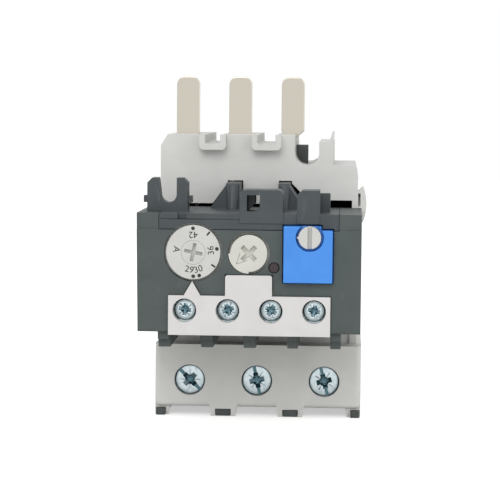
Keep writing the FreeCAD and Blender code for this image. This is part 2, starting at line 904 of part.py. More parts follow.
def side_panels(piece):
    """Shallow recessed panel on each flank."""
    panel = Rect(s.side_panel_front, s.side_panel_back, s.side_panel_bottom, s.side_panel_top)
    piece.pocket("YZ", housing_left - 1, housing_left + s.panel_recess, panel)
    piece.pocket("YZ", housing_right - s.panel_recess, housing_right + 1, panel)


def screw_holes(piece, low, high, width):
    """Holes for the screws of the back cover."""
    piece.pocket("XZ", low, high, *[Circle(across, up, width) for across, up in tapping_places()])


def channel_middles():
    """Middles of the two U channels between the blades."""
    return [blade(index) + s.blade_pitch / 2 + s.notch_shift for index in (0, 1)]


def tapping_places():
    """Middles of the two screws of the back cover, set across from each other."""
    return [(between_phases(1), s.tapping_low), (channel_middles()[1], s.tapping_high)]


def back_cover():
    """Flat cover behind the strips, with a lip inside the housing."""
    piece = Piece("back_cover")
    piece.pad("XZ", housing_back, s.rear_face, Polygon(
        (housing_left, s.block_bottom),
        (housing_right, s.block_bottom),
        (housing_right, s.side_step_top - s.side_slant_drop),
        (housing_right - s.side_slant, s.side_step_top),
        (housing_right - s.side_step_width, s.side_step_top),
        (housing_right - s.side_step_width, s.notch_floor),
        (housing_left + s.corner_chamfer, s.notch_floor),
        (housing_left, s.housing_top - s.corner_drop)))
    bounds = [cavity_left + s.fit]
    for index in (1, 2):
        left, right = strip_of(between_phases(index), s.partition_wall)
        bounds.extend((left - s.fit, right + s.fit))
    bounds.append(cavity_right - s.fit)
    piece.pad("XZ", housing_back - s.back_lip, housing_back, *[
        Rect(bounds[2 * index], bounds[2 * index + 1], s.chamber_floor + s.fit, s.chamber_ceiling - s.fit)
        for index in PHASES])
    screw_holes(piece, housing_back - 1, s.rear_face, s.tapping_screw + 2 * s.fit)
    screw_holes(piece, s.rear_face - s.tapping_head_thick, s.rear_face + 1, s.tapping_head + 2 * s.fit)
    piece.pocket("XZ", housing_back - s.back_lip - 1, housing_back, Circle(
        compensation_mid, s.compensation_pivot, s.lever_pin + s.fit))
    return piece


def back_cover_screws():
    """Two self-tapping screws as one group of solids."""
    label = "back_cover_screws"
    screws = []
    for number, (across, up) in enumerate(tapping_places(), start=1):
        head = doc.addObject("Part::Cylinder", f"tapping_head_{number}")
        shank = doc.addObject("Part::Cylinder", f"tapping_shank_{number}")
        slot = doc.addObject("Part::Box", f"tapping_slot_{number}")
        for solid in (head, shank):
            solid.Placement.Rotation = FreeCAD.Rotation(FreeCAD.Vector(1, 0, 0), 90)
            solid.setExpression(".Placement.Base.x", across.text)
            solid.setExpression(".Placement.Base.z", up.text)
        head.setExpression("Radius", (s.tapping_head / 2).text)
        head.setExpression("Height", (s.tapping_head_thick - s.fit).text)
        head.setExpression(".Placement.Base.y", (s.rear_face - s.fit).text)
        shank.setExpression("Radius", (s.tapping_screw / 2 - s.fit / 4).text)
        shank.setExpression("Height", (s.tapping_length + s.back_cover_thick - s.tapping_head_thick - s.fit).text)
        shank.setExpression(".Placement.Base.y", (s.rear_face - s.tapping_head_thick).text)
        slot.setExpression("Length", (s.tapping_head * 0.8).text)
        slot.setExpression("Width", s.tapping_head_thick.text)
        slot.setExpression("Height", (s.tapping_screw / 4).text)
        slot.setExpression(".Placement.Base.x", (across - s.tapping_head * 0.4).text)
        slot.setExpression(".Placement.Base.y", (s.rear_face - s.tapping_head_thick / 2).text)
        slot.setExpression(".Placement.Base.z", (up - s.tapping_screw / 8).text)
        whole = doc.addObject("Part::Fuse", f"tapping_whole_{number}")
        whole.Base, whole.Tool = head, shank
        screw = doc.addObject("Part::Cut", f"tapping_screw_{number}")
        screw.Base, screw.Tool = whole, slot
        screws.append(screw)
    group = doc.addObject("Part::Compound", label)
    group.Label = label
    group.Links = screws
    loose.append(group)


def terminal_carrier():
    """Dark inner moulding: four rails under the barriers, joined by a plate behind the cages."""
    piece = Piece("terminal_carrier")
    plate_back = s.carrier_plate_front + s.carrier_plate_thick
    plate_left = cavity_left
    plate_right = block_right - (cavity_left - block_left)
    places = rail_places()
    piece.pad("XZ", rail_front, plate_back, *[
        Rect(left, right, ZERO, s.rail_height) for left, right in places])
    piece.pad("XZ", s.carrier_plate_front, plate_back, Rect(
        places[0][0], places[3][1], ZERO, s.rail_height))
    piece.pad("XZ", s.carrier_plate_front, plate_back, Rect(
        plate_left, plate_right, ZERO, s.carrier_plate_top))
    piece.pocket("XZ", s.carrier_plate_front - 1, plate_back, *[
        Rect(*strip_of(phase(index), s.bar_width + 2 * s.slack), bar_floor - s.slack, s.carrier_plate_top + 1)
        for index in PHASES])
    return piece


# Phases

def connection_pin(index):
    """Blade with its neck, the arm across to the strip and the tab that holds it."""
    piece = Piece(f"connection_pin_{index + 1}")
    middle = blade(index)
    left, right = strip_of(middle, s.blade_width)
    neck_left = left + s.blade_neck_inset
    neck_right = neck_left + s.blade_neck_width
    arm_right = phase(index) + s.blade_tab_width / 2
    piece.pad("XZ", s.blade_face, blade_back, Polygon(
        (neck_left, s.blade_arm_bottom),
        (arm_right, s.blade_arm_bottom),
        (arm_right, arm_top),
        (neck_right, arm_top),
        (neck_right, s.blade_neck_top),
        (right, s.blade_shoulder),
        (right, s.blade_top),
        (left, s.blade_top),
        (left, s.blade_shoulder),
        (neck_left, s.blade_shoulder - s.blade_neck_inset)))
    tab_left, tab_right = strip_of(phase(index), s.blade_tab_width)
    piece.pad("XY", s.blade_arm_bottom, s.blade_arm_bottom + s.blade_tab_thick, Rect(
        tab_left, tab_right, s.blade_face, s.blade_face + s.blade_tab_depth))
    piece.soften("Fillet", s.blade_round, "Y", (left, s.blade_top), (right, s.blade_top))
    return piece


def bimetal_strip(index):
    """Bimetal strip that hangs from the blade's tab."""
    piece = Piece(f"bimetal_strip_{index + 1}")
    left, right = strip_of(phase(index), s.strip_thick)
    piece.pad("XY", s.strip_bottom, s.blade_arm_bottom - s.fit, Rect(left, right, s.strip_front, strip_back))
    piece.soften("Chamfer", s.strip_width / 6, "X", (s.strip_front, s.strip_bottom), (strip_back, s.strip_bottom))
    return piece


def heater_winding(index):
    """Flat ribbon wound on the strip, with the turns standing out from the sleeve below them."""
    piece = Piece(f"heater_winding_{index + 1}")
    middle = phase(index)
    hole = s.fit + 0.05
    wall = s.winding_wall
    core = wall - s.winding_depth
    half = s.strip_thick / 2 + hole
    turns_height = s.winding_pitch * (s.winding_turns - 1) + s.winding_turn

    def ring(extra):
        return Rect(middle - half - extra, middle + half + extra,
                    s.strip_front - hole - extra, strip_back + hole + extra)

    piece.pad("XY", s.winding_bottom, s.winding_bottom + turns_height, ring(core))
    turn = piece.pad("XY", s.winding_bottom, s.winding_bottom + s.winding_turn, ring(wall))
    piece.repeat(turn, (turn.Profile[0], ["N_Axis"]), turns_height - s.winding_turn, s.winding_turns)
    piece.pocket("XY", s.winding_bottom - 1, s.winding_bottom + turns_height + 1, ring(ZERO))
    return piece


def load_bar(index):
    """Bent bar from the terminal up to the heated strip."""
    piece = Piece(f"load_bar_{index + 1}")
    left, right = strip_of(phase(index), s.bar_width)
    rear_face = s.bar_rear - s.bar_thick
    piece.pad("YZ", left, right, Polygon(
        (s.bar_face, s.bar_bottom),
        (s.bar_face + s.bar_thick, s.bar_bottom),
        (s.bar_face + s.bar_thick, bar_floor),
        (s.bar_rear, bar_floor),
        (s.bar_rear, s.bar_top),
        (rear_face, s.bar_top),
        (rear_face, s.bar_bend),
        (s.bar_face, s.bar_bend)))
    piece.soften("Fillet", s.bar_thick, "X", (s.bar_face, s.bar_bend), (s.bar_rear, bar_floor))
    return piece


def clamp_cage(index):
    """Square cage round the bar; its front wall is threaded on the screw."""
    piece = Piece(f"clamp_cage_{index + 1}")
    middle = phase(index)
    outer = strip_of(middle, s.cage_inner_width + 2 * s.cage_wall)
    inner = strip_of(middle, s.cage_inner_width)
    top = s.cage_bottom + s.cage_height
    piece.pad("XY", s.cage_bottom, top, Rect(*outer, s.cage_front, s.cage_back))
    piece.pocket("XY", s.cage_bottom - 1, top, Rect(
        *inner, s.cage_front + s.cage_front_wall, s.cage_back - s.cage_front_wall))
    piece.pocket("XZ", s.cage_front - 1, s.cage_front + s.cage_front_wall + 1, Circle(
        middle, s.screw_height, s.screw_shank + s.fit))
    return piece


def main_screw(index):
    """Terminal screw with a combined slot and cross recess."""
    turns = (45, -12, -14)
    face = s.block_face + s.screw_sunk
    piece = Piece(f"main_screw_{index + 1}", phase(index), face, s.screw_height, Dim.of(turns[index]))
    head_back = s.screw_head_thick
    length = s.bar_face - face - s.fit
    radius = s.screw_head / 2
    piece.turned(
        (ZERO, ZERO), (radius, ZERO), (radius, head_back),
        (s.screw_shank / 2, head_back), (s.screw_shank / 2, length), (ZERO, length))
    drive_recess(piece, s.screw_head, s.screw_slot, s.screw_slot_depth, s.screw_slot * 0.8)
    return piece


def drive_recess(piece, head, slot, depth, cross):
    """A slot right across the head, and a shorter cross."""
    long_half = head / 2 + 1
    cross_half = head * 0.29
    piece.pocket("XZ", ZERO - 1, depth, Rect(-cross / 2, cross / 2, -long_half, long_half))
    piece.pocket("XZ", ZERO - 1, depth + slot / 4, Rect(-cross_half, cross_half, -slot / 2, slot / 2))


# Mechanism in the housing

def trip_slider():
    """Bridge that the bent strips push to the left, with the lever's post."""
    piece = Piece("trip_slider")
    top = slider_top
    right = phase(2) + s.finger_gap
    fingers = []
    for index in PHASES:
        finger_right = phase(index) - s.strip_thick / 2 - s.finger_gap
        fingers.append(Rect(finger_right - s.finger_thick, finger_right, s.finger_front, slider_back))
    piece.pad("XY", s.slider_bottom, top, Rect(nose_face, right, s.slider_front, slider_back))
    piece.pad("XY", s.slider_bottom, top, *fingers)
    piece.pad("XY", s.slider_bottom, top, Rect(
        nose_face, nose_face + 1.5 * s.finger_thick, s.slider_front, compensation_back))
    piece.pad("XY", top, second_top + s.swing_lever_thick + s.slack, Circle(
        nose_face + 0.75 * s.finger_thick, swing_depth, s.swing_post))
    return piece


def differential_slider():
    """Second bridge on top of the first, with fingers on the strips' other side."""
    piece = Piece("differential_slider")
    left = nose_face + 2.5 * s.finger_thick
    right = phase(2) + s.strip_thick / 2 + s.finger_gap + s.finger_thick
    fingers = []
    for index in PHASES:
        finger_left = phase(index) + s.strip_thick / 2 + s.finger_gap
        fingers.append(Rect(finger_left, finger_left + s.finger_thick, s.finger_front, slider_back))
    piece.pad("XY", second_bottom, second_top, Rect(left, right, s.slider_front, slider_back))
    piece.pad("XY", second_bottom, second_top, *fingers)
    piece.pad("XY", second_top, second_top + s.swing_lever_thick + s.slack, Circle(
        left + s.swing_post / 2 + s.fit, s.slider_front + s.slider_thick / 2, s.swing_post * 0.8))
    return piece


def differential_lever():
    """Small lever that spans the two bridges."""
    piece = Piece("differential_lever")
    low = second_top + s.fit
    left = nose_face
    right = nose_face + 2.5 * s.finger_thick + s.swing_post + s.finger_thick
    piece.pad("XY", low, low + s.swing_lever_thick, Rect(
        left, right, s.slider_front - s.slack, s.compensation_front - s.fit))
    piece.pocket("XY", low - 1, low + s.swing_lever_thick, Circle(
        nose_face + 0.75 * s.finger_thick, swing_depth, s.swing_post + 2 * s.fit))
    piece.pocket("XY", low - 1, low + s.swing_lever_thick, Circle(
        nose_face + 2.5 * s.finger_thick + s.swing_post / 2 + s.fit, s.slider_front + s.slider_thick / 2,
        s.swing_post * 0.8 + 2 * s.fit))
    return piece


def compensation_lever():
    """Upright strip on a pivot, with an arm forward to the rocker."""
    piece = Piece("compensation_lever")
    face, back = s.compensation_face, s.compensation_face + s.compensation_thick
    arm_high = s.compensation_arm + s.compensation_arm_height
    piece.pad("YZ", face, back, Polygon(
        (s.compensation_front, s.compensation_bottom),
        (compensation_back, s.compensation_bottom),
        (compensation_back, arm_high),
        (s.compensation_arm_front, arm_high),
        (s.compensation_arm_front, s.compensation_arm),
        (s.compensation_front, s.compensation_arm)))
    piece.pad("XZ", s.compensation_front, compensation_back, Circle(
        compensation_mid, s.compensation_pivot, s.compensation_hub))
    piece.pocket("XZ", s.compensation_front - 1, compensation_back + 1, Circle(
        compensation_mid, s.compensation_pivot, s.lever_pin + s.fit))
    return piece


def round_pin(label, across, up, width, front, back):
    """A plain pin that runs from front to back."""
    piece = Piece(label)
    piece.pad("XZ", front, back, Circle(across, up, width))
    return piece


# Front cover

def front_cover():
    """Dark shell in front of the housing, open behind and below the auxiliary terminals."""
    piece = Piece("front_cover")
    inner_left, inner_right = cover_left + s.cover_wall, cover_right - s.cover_wall
    piece.pad("XZ", s.cover_face, cover_back, Polygon(
        (cover_left + s.cover_draft, s.cover_bottom),
        (cover_right, s.cover_bottom),
        (cover_right, s.cover_top),
        (cover_left, s.cover_top)))
    piece.soften("Fillet", s.cover_edge, "X", (s.cover_face, s.cover_bottom))
    piece.pocket("XZ", s.cover_face - 1, lip_face, Rect(
        cover_left - 1, cover_right + 1, s.bracket_lip_bottom, s.cover_top + 1))
    piece.pocket("XZ", cover_inside, cover_back, Rect(
        inner_left + s.cover_draft, inner_right, cover_floor, cover_ceiling))
    auxiliary_ribs(piece)
    piece.pocket("XZ", s.cover_face - 1, cover_inside + s.fit, *fascia_outline(s.fit * 1.5, cut=True))
    piece.pocket("XZ", s.cover_face - 1, cover_back, Rect(
        s.bracket_left - s.fit, bracket_right + s.fit, s.bracket_lip_bottom - s.fit, s.cover_top + 1))
    piece.pocket("XZ", s.cover_face - 1, cover_inside + s.fit, Circle(s.dial_mid, dial_height, s.dial_recess))
    piece.pocket("XZ", s.cover_face - 1, cover_inside + s.fit, Circle(s.disc_mid, disc_height, s.disc_hole))
    piece.pocket("XZ", s.cover_face - 1, cover_inside + s.fit, Circle(s.test_mid, s.test_height, s.test_hole))
    piece.pocket("XZ", s.cover_face - 1, cover_inside + s.fit, button_outline(s.button_gap))
    piece.pad("XZ", cover_inside - s.fit, s.cam_front - s.slack, Circle(
        lever_pivot, lever_pivot_height, s.lever_hub))
    piece.pocket("XZ", cover_inside, s.cam_front, Circle(
        lever_pivot, lever_pivot_height, s.lever_pin + s.fit / 2))
    return piece


def auxiliary_ribs(piece):
    """Five ribs between the auxiliary terminals, and the wire ways between them."""
    widths = [s.rib_width, s.rib_width, s.rib_width, s.rib_inner_width, s.rib_inner_width]
    edges = [strip_of(middle, width) for middle, width in zip(rib_edges, widths)]
    piece.pad("XZ", cover_inside - s.fit, s.rib_back, *[
        Rect(left, right, s.rib_bottom, s.carrier_floor) for left, right in edges])
    piece.pocket("XZ", s.cover_face, cover_inside + s.rib_step, *[
        Rect(left - s.fit, right + s.fit, s.rib_bottom - 1, s.rib_bottom + s.rib_step) for left, right in edges])
    piece.pocket("XY", s.cover_bottom - 1, cover_floor + s.fit, *[
        Rect(edges[index][1], edges[index + 1][0], cover_inside, s.entry_back) for index in TERMINALS])


def fascia_outline(gap, cut=False):
    """Outline of the fascia with its tab and pointer; a cut is wider by the gap and open below."""
    left, right = strip_of(s.aux_mid, s.fascia_width + 2 * gap)
    bottom = s.cover_bottom - 2 if cut else s.fascia_bottom
    top = s.fascia_top + gap
    tab_left = s.tab_left - gap
    tab_right = s.tab_left + s.tab_width + gap
    half = s.pointer_width / 2 + gap
    return [Polygon(
        (left, bottom),
        (right, bottom),
        (right, top),
        (tab_right, top),
        (tab_right, tab_top + gap),
        (tab_left, tab_top + gap),
        (tab_left, top),
        (s.pointer_mid + half, top),
        (s.pointer_mid, pointer_top + 2 * gap),
        (s.pointer_mid - half, top),
        (left, top))]


def button_outline(gap):
    """Outline of the button, lower at its top right corner, wider by the gap."""
    top = button_top + gap
    step_left = s.button_step_left + gap
    return Polygon(
        (s.button_left - gap, s.button_bottom - gap),
        (button_right + gap, s.button_bottom - gap),
        (button_right + gap, top - s.button_step),
        (step_left, top - s.button_step),
        (step_left, top),
        (s.button_left - gap, top))


def terminal_fascia():
    """Light plate over the auxiliary terminals, with a tab, a pointer and four screw holes."""
    piece = Piece("terminal_fascia")
    piece.pad("XZ", s.fascia_face, s.fascia_face + s.fascia_thick, *fascia_outline(ZERO))
    piece.pocket("XZ", s.fascia_face - 1, s.fascia_face + s.fascia_thick, *[
        Circle(terminal(index), s.aux_screw_height, s.aux_hole) for index in TERMINALS])
    tab_right = s.tab_left + s.tab_width
    piece.soften("Fillet", s.button_round, "Y", (s.tab_left, tab_top), (tab_right, tab_top))
    return piece


def mounting_bracket():
    """Dark insert in the cover's top that carries the fork, the blocks and the posts."""
    piece = Piece("mounting_bracket")
    plate_bottom = s.cover_top - s.bracket_plate
    lip_back = s.cover_face + s.bracket_lip
    piece.pad("XZ", lip_face, cover_back, Rect(s.bracket_left, bracket_right, plate_bottom, s.cover_top))
    piece.pad("XZ", lip_face, lip_back, Rect(
        s.bracket_left, bracket_right, s.bracket_lip_bottom, s.cover_top))
    line_bottom = s.bracket_lip_bottom + s.line_height
    piece.pocket("XZ", lip_face - 1, lip_face + s.line_depth, Rect(
        s.bracket_left + s.slack, s.middle_block_left, line_bottom, line_bottom + s.line_width))
    slot_left = s.bracket_left + s.bracket_slot
    piece.pocket("XZ", lip_face - 1, lip_face + s.bracket_slot_height, Rect(
        slot_left, slot_left + s.bracket_slot_width, s.cover_top - s.bracket_slot_height, s.cover_top + 1))
    block_top = s.cover_top + s.block_height
    block_back = s.cover_face + s.block_depth
    middle_right = s.middle_block_left + s.middle_block_width
    right_right = s.right_block_left + s.right_block_width
    piece.pad("XZ", s.cover_face, block_back,
              Rect(s.middle_block_left, middle_right, s.cover_top - s.slack, block_top),
              Rect(s.right_block_left, right_right, s.cover_top - s.slack, block_top))
    piece.pad("XZ", s.cover_face, lip_back,
              Rect(s.middle_block_left, middle_right, s.cover_top - s.block_foot, s.cover_top),
              Rect(s.right_block_left, right_right, s.cover_top - s.block_foot, s.cover_top))
    piece.pad("XZ", s.panel_front, s.panel_front + s.panel_thick, Rect(
        right_right - s.slack, right_right + s.panel_width, s.cover_top - 1, s.panel_top))
    piece.pocket("XZ", s.cover_face - 1, block_back, Rect(
        s.window_left, s.window_left + s.window_width,
        s.cover_top + s.button_round, s.cover_top + s.button_round + s.window_height))
    bracket_posts(piece)
    bracket_fork(piece)
    piece.pocket("XZ", s.cover_face - 1, lip_back + s.fit,
                 Circle(s.dial_mid, dial_height, s.dial_recess), button_outline(s.button_gap))
    piece.pocket("XZ", cover_inside - s.fit, lip_back + s.fit,
                 Circle(s.dial_mid, dial_height, s.dial_flange + s.slack))
    piece.soften("Fillet", s.block_round, "Y", (s.middle_block_left, block_top), (middle_right, block_top))
    piece.soften("Chamfer", s.block_round, "Y", (s.right_block_left, block_top))
    return piece


def bracket_posts(piece):
    """Two posts that reach back into the housing, with sloping feet."""
    base = s.cover_top - 1
    post_top = s.cover_top + s.post_height
    foot = s.cover_top + s.gusset_height
    left_post_right = s.left_post + s.left_post_width
    right_post_right = s.right_post + s.right_post_width
    outlines = [
        Polygon(
            (s.left_post - s.gusset_width, base), (left_post_right, base), (left_post_right, post_top),
            (s.left_post, post_top), (s.left_post, foot), (s.left_post - s.gusset_width, s.cover_top + s.slack)),
        Polygon(
            (s.right_post, base), (right_post_right + s.gusset_width, base),
            (right_post_right + s.gusset_width, s.cover_top + s.slack), (right_post_right, foot),
            (right_post_right, post_top), (s.right_post, post_top)),
    ]
    piece.pad("XZ", s.post_front, cover_back, *outlines)
    piece.pad("XY", base, post_top - s.slack,
              Circle((s.left_post + left_post_right) / 2, s.post_front, s.post_round),
              Circle((s.right_post + right_post_right) / 2, s.post_front, s.right_post_width))
    piece.pad("XZ", cover_back - s.fit, s.post_end,
              Rect(s.left_post, left_post_right, s.window_head, post_top),
              Rect(s.right_post, right_post_right, s.window_head, post_top))


def bracket_fork(piece):
    """Fork that stands on the cover's top and takes hold of its neighbour."""
    right = s.fork_left + s.fork_width
    slot_left, slot_right = strip_of((s.fork_left + right) / 2, s.fork_slot)
    floor = s.fork_slot_floor
    back = s.fork_face + s.fork_thick
    nub_top = floor + s.fork_nub_height
    radius = (s.fork_slot - s.fork_slot_taper) / 2
    piece.pad("XZ", s.fork_face, back, Polygon(
        (s.fork_left, s.cover_top),
        (right, s.cover_top),
        (right, s.fork_top - s.fork_chamfer),
        (right - s.fork_chamfer, s.fork_top),
        (slot_right, s.fork_top),
        (slot_right, floor + radius),
        (slot_right - radius, floor, -radius),
        (slot_left + s.fork_slot_taper, floor + radius, -radius),
        (slot_left, s.fork_top),
        (s.fork_left + s.fork_chamfer, s.fork_top),
        (s.fork_left, s.fork_top - s.fork_chamfer)))
    piece.pad("XZ", s.fork_face + s.fork_nub, back - s.fork_nub,
              Rect(s.fork_left - s.fork_nub, s.fork_left + s.fit, floor, nub_top),
              Rect(right - s.fit, right + s.fork_nub, floor, nub_top))


# Controls

def setting_dial():
    """Dial with a screwdriver cross, held behind the cover by its flange."""
    piece = Piece("setting_dial", s.dial_mid, s.dial_face, dial_height)
    flange_front = cover_inside + s.fit - s.dial_face
    flange_back = flange_front + s.dial_flange_thick
    shaft_end = s.dial_shaft_end - s.dial_face
    piece.turned(
        (ZERO, ZERO), (s.dial_width / 2, ZERO), (s.dial_width / 2, flange_front),
        (s.dial_flange / 2, flange_front), (s.dial_flange / 2, flange_back),
        (s.dial_shaft / 2, flange_back), (s.dial_shaft / 2, shaft_end), (ZERO, shaft_end))
    cross_recess(piece, s.dial_cross, s.dial_cross_slot, s.dial_cross_depth, s.dial_cross_angle)
    return piece


def cross_recess(piece, length, slot, depth, angle):
    """A cross-shaped recess in the face, turned clockwise by an angle."""
    half, side = length / 2, slot / 2
    cosine = Dim.of(angle).cosine()
    sine = Dim.of(angle).sine()

    def turned_corner(across, up):
        return across * cosine + up * sine, up * cosine - across * sine

    corners = [
        (side, side), (half, side), (half, -side), (side, -side), (side, -half), (-side, -half),
        (-side, -side), (-half, -side), (-half, side), (-side, side), (-side, half), (side, half)]
    piece.pocket("XZ", ZERO - 1, depth, Polygon(*[turned_corner(*corner) for corner in corners]))


def setting_cam():
    """Cam whose edge rises evenly with the dial's turn, from the side where the lever rests."""
    piece = Piece("setting_cam")
    lever_side = Dim.of(180)
    rest_end = lever_side + s.cam_sweep + s.cam_margin
    remainder = lever_side + 360 - rest_end
    corners = []
    for step in CAM_RISE:
        share = step / CAM_RISE[-1]
        corners.append(rim_corner(lever_side + s.cam_sweep * share, s.cam_start + s.cam_rise * share, step > 0))
    for step in CAM_LEVEL:
        corners.append(rim_corner(rest_end + remainder * (step / len(CAM_LEVEL)), s.cam_start, step > 0))
    corners[0] = rim_corner(lever_side, s.cam_start, True)
    piece.pad("XZ", s.cam_front, cam_back, Polygon(*corners))
    piece.pocket("XZ", s.cam_front - 1, cam_back, Circle(
        s.dial_mid, dial_height, s.dial_shaft + s.fit / 2))
    return piece


def rim_corner(angle, radius, rounded):
    """A corner on the cam's rim, reached by an arc where it is rounded."""
    angle = Dim.of(angle)
    place = (s.dial_mid + radius * angle.cosine(), dial_height + radius * angle.sine())
    return (*place, radius) if rounded else place


def setting_lever():
    """Bent lever that rests against the cam."""
    piece = Piece("setting_lever")
    left, right = strip_of(lever_pivot, s.lever_width)
    pad_low = dial_height - s.lever_width
    pad_high = dial_height + s.lever_width / 2
    piece.pad("XZ", s.cam_front, cam_back, Polygon(
        (left, lever_pivot_height),
        (right, lever_pivot_height),
        (lever_face, pad_low),
        (lever_face, pad_high),
        (right, s.lever_top),
        (left, s.lever_top)))
    piece.pad("XZ", s.cam_front, cam_back, Circle(lever_pivot, lever_pivot_height, s.lever_hub))
    piece.pocket("XZ", s.cam_front - 1, cam_back, Circle(
        lever_pivot, lever_pivot_height, s.lever_pin + s.fit))
    return piece


def selector_disc():
    """White disc with a lobe over a quarter of its rim and a cross in its face."""
    piece = Piece("selector_disc", s.disc_mid, s.disc_face, disc_height)
    flange_front = cover_inside + s.fit - s.disc_face
    flange_back = flange_front + s.disc_flange_thick
    shaft_end = s.disc_shaft_end - s.disc_face
    lobe = s.disc_lobe / 2
    piece.turned(
        (ZERO, ZERO), (s.disc_width / 2, ZERO), (s.disc_width / 2, flange_front),
        (s.disc_flange / 2, flange_front), (s.disc_flange / 2, flange_back),
        (s.disc_shaft / 2, flange_back), (s.disc_shaft / 2, shaft_end), (ZERO, shaft_end))
    piece.pad("XZ", ZERO, flange_front + s.fit, Polygon((ZERO, ZERO), (-lobe, ZERO), (ZERO, -lobe, lobe)))
    cross_recess(piece, s.disc_cross, s.disc_cross_slot, s.dial_cross_depth, 45)
    return piece


def test_pin():
    """Small round push pin with a collar behind the cover; its tip faces the rocker."""
    piece = Piece("test_pin", s.test_mid, s.test_face, s.test_height)
    collar_front = cover_inside + s.fit - s.test_face
    collar_back = collar_front + s.test_collar_thick
    end = s.rocker_front - s.test_gap - s.test_face
    half = s.test_pin_width / 2
    piece.turned(
        (ZERO, ZERO), (half, ZERO), (half, collar_front),
        (s.test_collar / 2, collar_front), (s.test_collar / 2, collar_back),
        (half, collar_back), (half, end), (ZERO, end))
    return piece


def reset_button():
    """Blue button with a stem, a flange behind the cover and a round place for the knob."""
    piece = Piece("reset_button")
    flange_front = s.cover_face + s.bracket_lip + s.fit
    piece.pad("XZ", s.button_face, button_back, button_outline(ZERO))
    piece.pad("XZ", flange_front, button_back, Rect(
        s.button_left, button_right + s.button_flange,
        s.button_bottom - s.button_flange, button_top + s.button_flange))
    piece.pocket("XZ", s.button_face, s.button_face + s.knob_thick + s.fit, Circle(
        s.knob_mid, s.knob_height, s.knob_hole))
    piece.pocket("XZ", s.button_face, button_back - s.button_round, Circle(
        s.knob_mid, s.knob_height, s.knob_shaft + s.fit))
    piece.pad("XZ", button_back - s.fit, s.stem_end, Circle(s.stem_mid, s.stem_height, s.stem_width))
    return piece


def reset_mode_knob():
    """White slotted knob with a pointed nose, set in the button."""
    piece = Piece("reset_mode_knob", s.knob_mid, s.button_face, s.knob_height)
    nose_half = s.knob_width * 0.4
    piece.pad("XZ", ZERO, s.knob_thick, Circle(ZERO, ZERO, s.knob_width))
    piece.pad("XZ", ZERO, s.knob_thick, Polygon((ZERO, -nose_half), (ZERO, nose_half), (-s.knob_nose, ZERO)))
    piece.pad("XZ", s.knob_thick - s.fit, button_back - s.button_face - 2 * s.button_round, Circle(
        ZERO, ZERO, s.knob_shaft))
    piece.pocket("XZ", ZERO, s.knob_thick / 2, Rect(
        -s.knob_slot / 2, s.knob_slot / 2, -s.knob_width / 2 - 1, s.knob_width / 2 + 1))
    return piece


def reset_spring():
    """Coil spring between the button's stem and the contact carrier."""
    label = "reset_spring"
    front = s.stem_end + s.fit / 2 + s.spring_wire / 2
    back = s.carrier_wall_front - s.fit / 2 - s.spring_wire / 2
    radius = (s.spring_width - s.spring_wire) / 2
    coil = doc.addObject("Part::Helix", "spring_coil")
    coil.setExpression("Pitch", ((back - front) / s.spring_coils).text)
    coil.setExpression("Height", (back - front).text)
    coil.setExpression("Radius", radius.text)
    wire = doc.addObject("Part::RegularPolygon", "spring_wire_section")
    wire.Polygon = 4
    wire.setExpression("Circumradius", (s.spring_wire / 2).text)
    wire.Placement.Rotation = FreeCAD.Rotation(FreeCAD.Vector(1, 0, 0), 90)
    wire.setExpression(".Placement.Base.x", radius.text)
    spring = doc.addObject("Part::Sweep", label)
    spring.Label = label
    spring.Sections = [wire]
    spring.Spine = coil
    spring.Solid = True
    spring.Frenet = True
    spring.Placement.Rotation = FreeCAD.Rotation(FreeCAD.Vector(1, 0, 0), -90)
    spring.setExpression(".Placement.Base.x", s.stem_mid.text)
    spring.setExpression(".Placement.Base.y", front.text)
    spring.setExpression(".Placement.Base.z", s.stem_height.text)
    loose.append(spring)


# Contacts behind the cover

def contact_carrier():
    """Inner moulding: floor under the contacts, rear wall and boss for the rocker's pin."""
    piece = Piece("contact_carrier")
    left = cover_left + s.cover_wall + s.cover_draft + s.fit
    right = cover_right - s.cover_wall - s.fit
    piece.pad("XZ", aux_plate_back + s.fit, cover_back - s.slack, Rect(
        left, right, s.carrier_floor, carrier_floor_top))
    piece.pad("XZ", s.carrier_wall_front, carrier_wall_back, Rect(
        left, right, carrier_floor_top - s.fit, s.carrier_wall_top))
    piece.pad("XZ", rocker_back + s.rocker_boss_gap, s.carrier_wall_front + s.fit, Circle(
        s.aux_mid, s.rocker_pivot, s.rocker_hub))
    piece.pocket("XZ", rocker_back, carrier_wall_back - s.fit * 5, Circle(
        s.aux_mid, s.rocker_pivot, s.pivot_pin + s.fit / 2))
    return piece


def square(across, depth, width):
    """Outline of a square contact tip."""
    return Rect(*strip_of(across, width), *strip_of(depth, width))


def aux_terminal(index):
    """Bent plate with the screw's thread, its leg and the fixed contact."""
    piece = Piece(f"aux_terminal_{index + 1}")
    left, right = strip_of(terminal(index), s.aux_plate_width)
    piece.pad("YZ", left, right, Polygon(
        (aux_plate_front, s.aux_plate_bottom),
        (aux_plate_back, s.aux_plate_bottom),
        (aux_plate_back, carrier_floor_top),
        (s.aux_leg_back, carrier_floor_top),
        (s.aux_leg_back, aux_leg_top),
        (aux_plate_front, aux_leg_top)))
    piece.soften("Fillet", s.aux_plate_thick / 2, "X", (aux_plate_front, aux_leg_top))
    piece.pad("XY", aux_leg_top - s.fit, contact_top, square(terminal(index), contact_depth, s.contact_button))
    piece.pocket("XZ", aux_plate_front - 1, aux_plate_back, Circle(
        terminal(index), s.aux_screw_height, s.aux_shank + s.fit))
    return piece


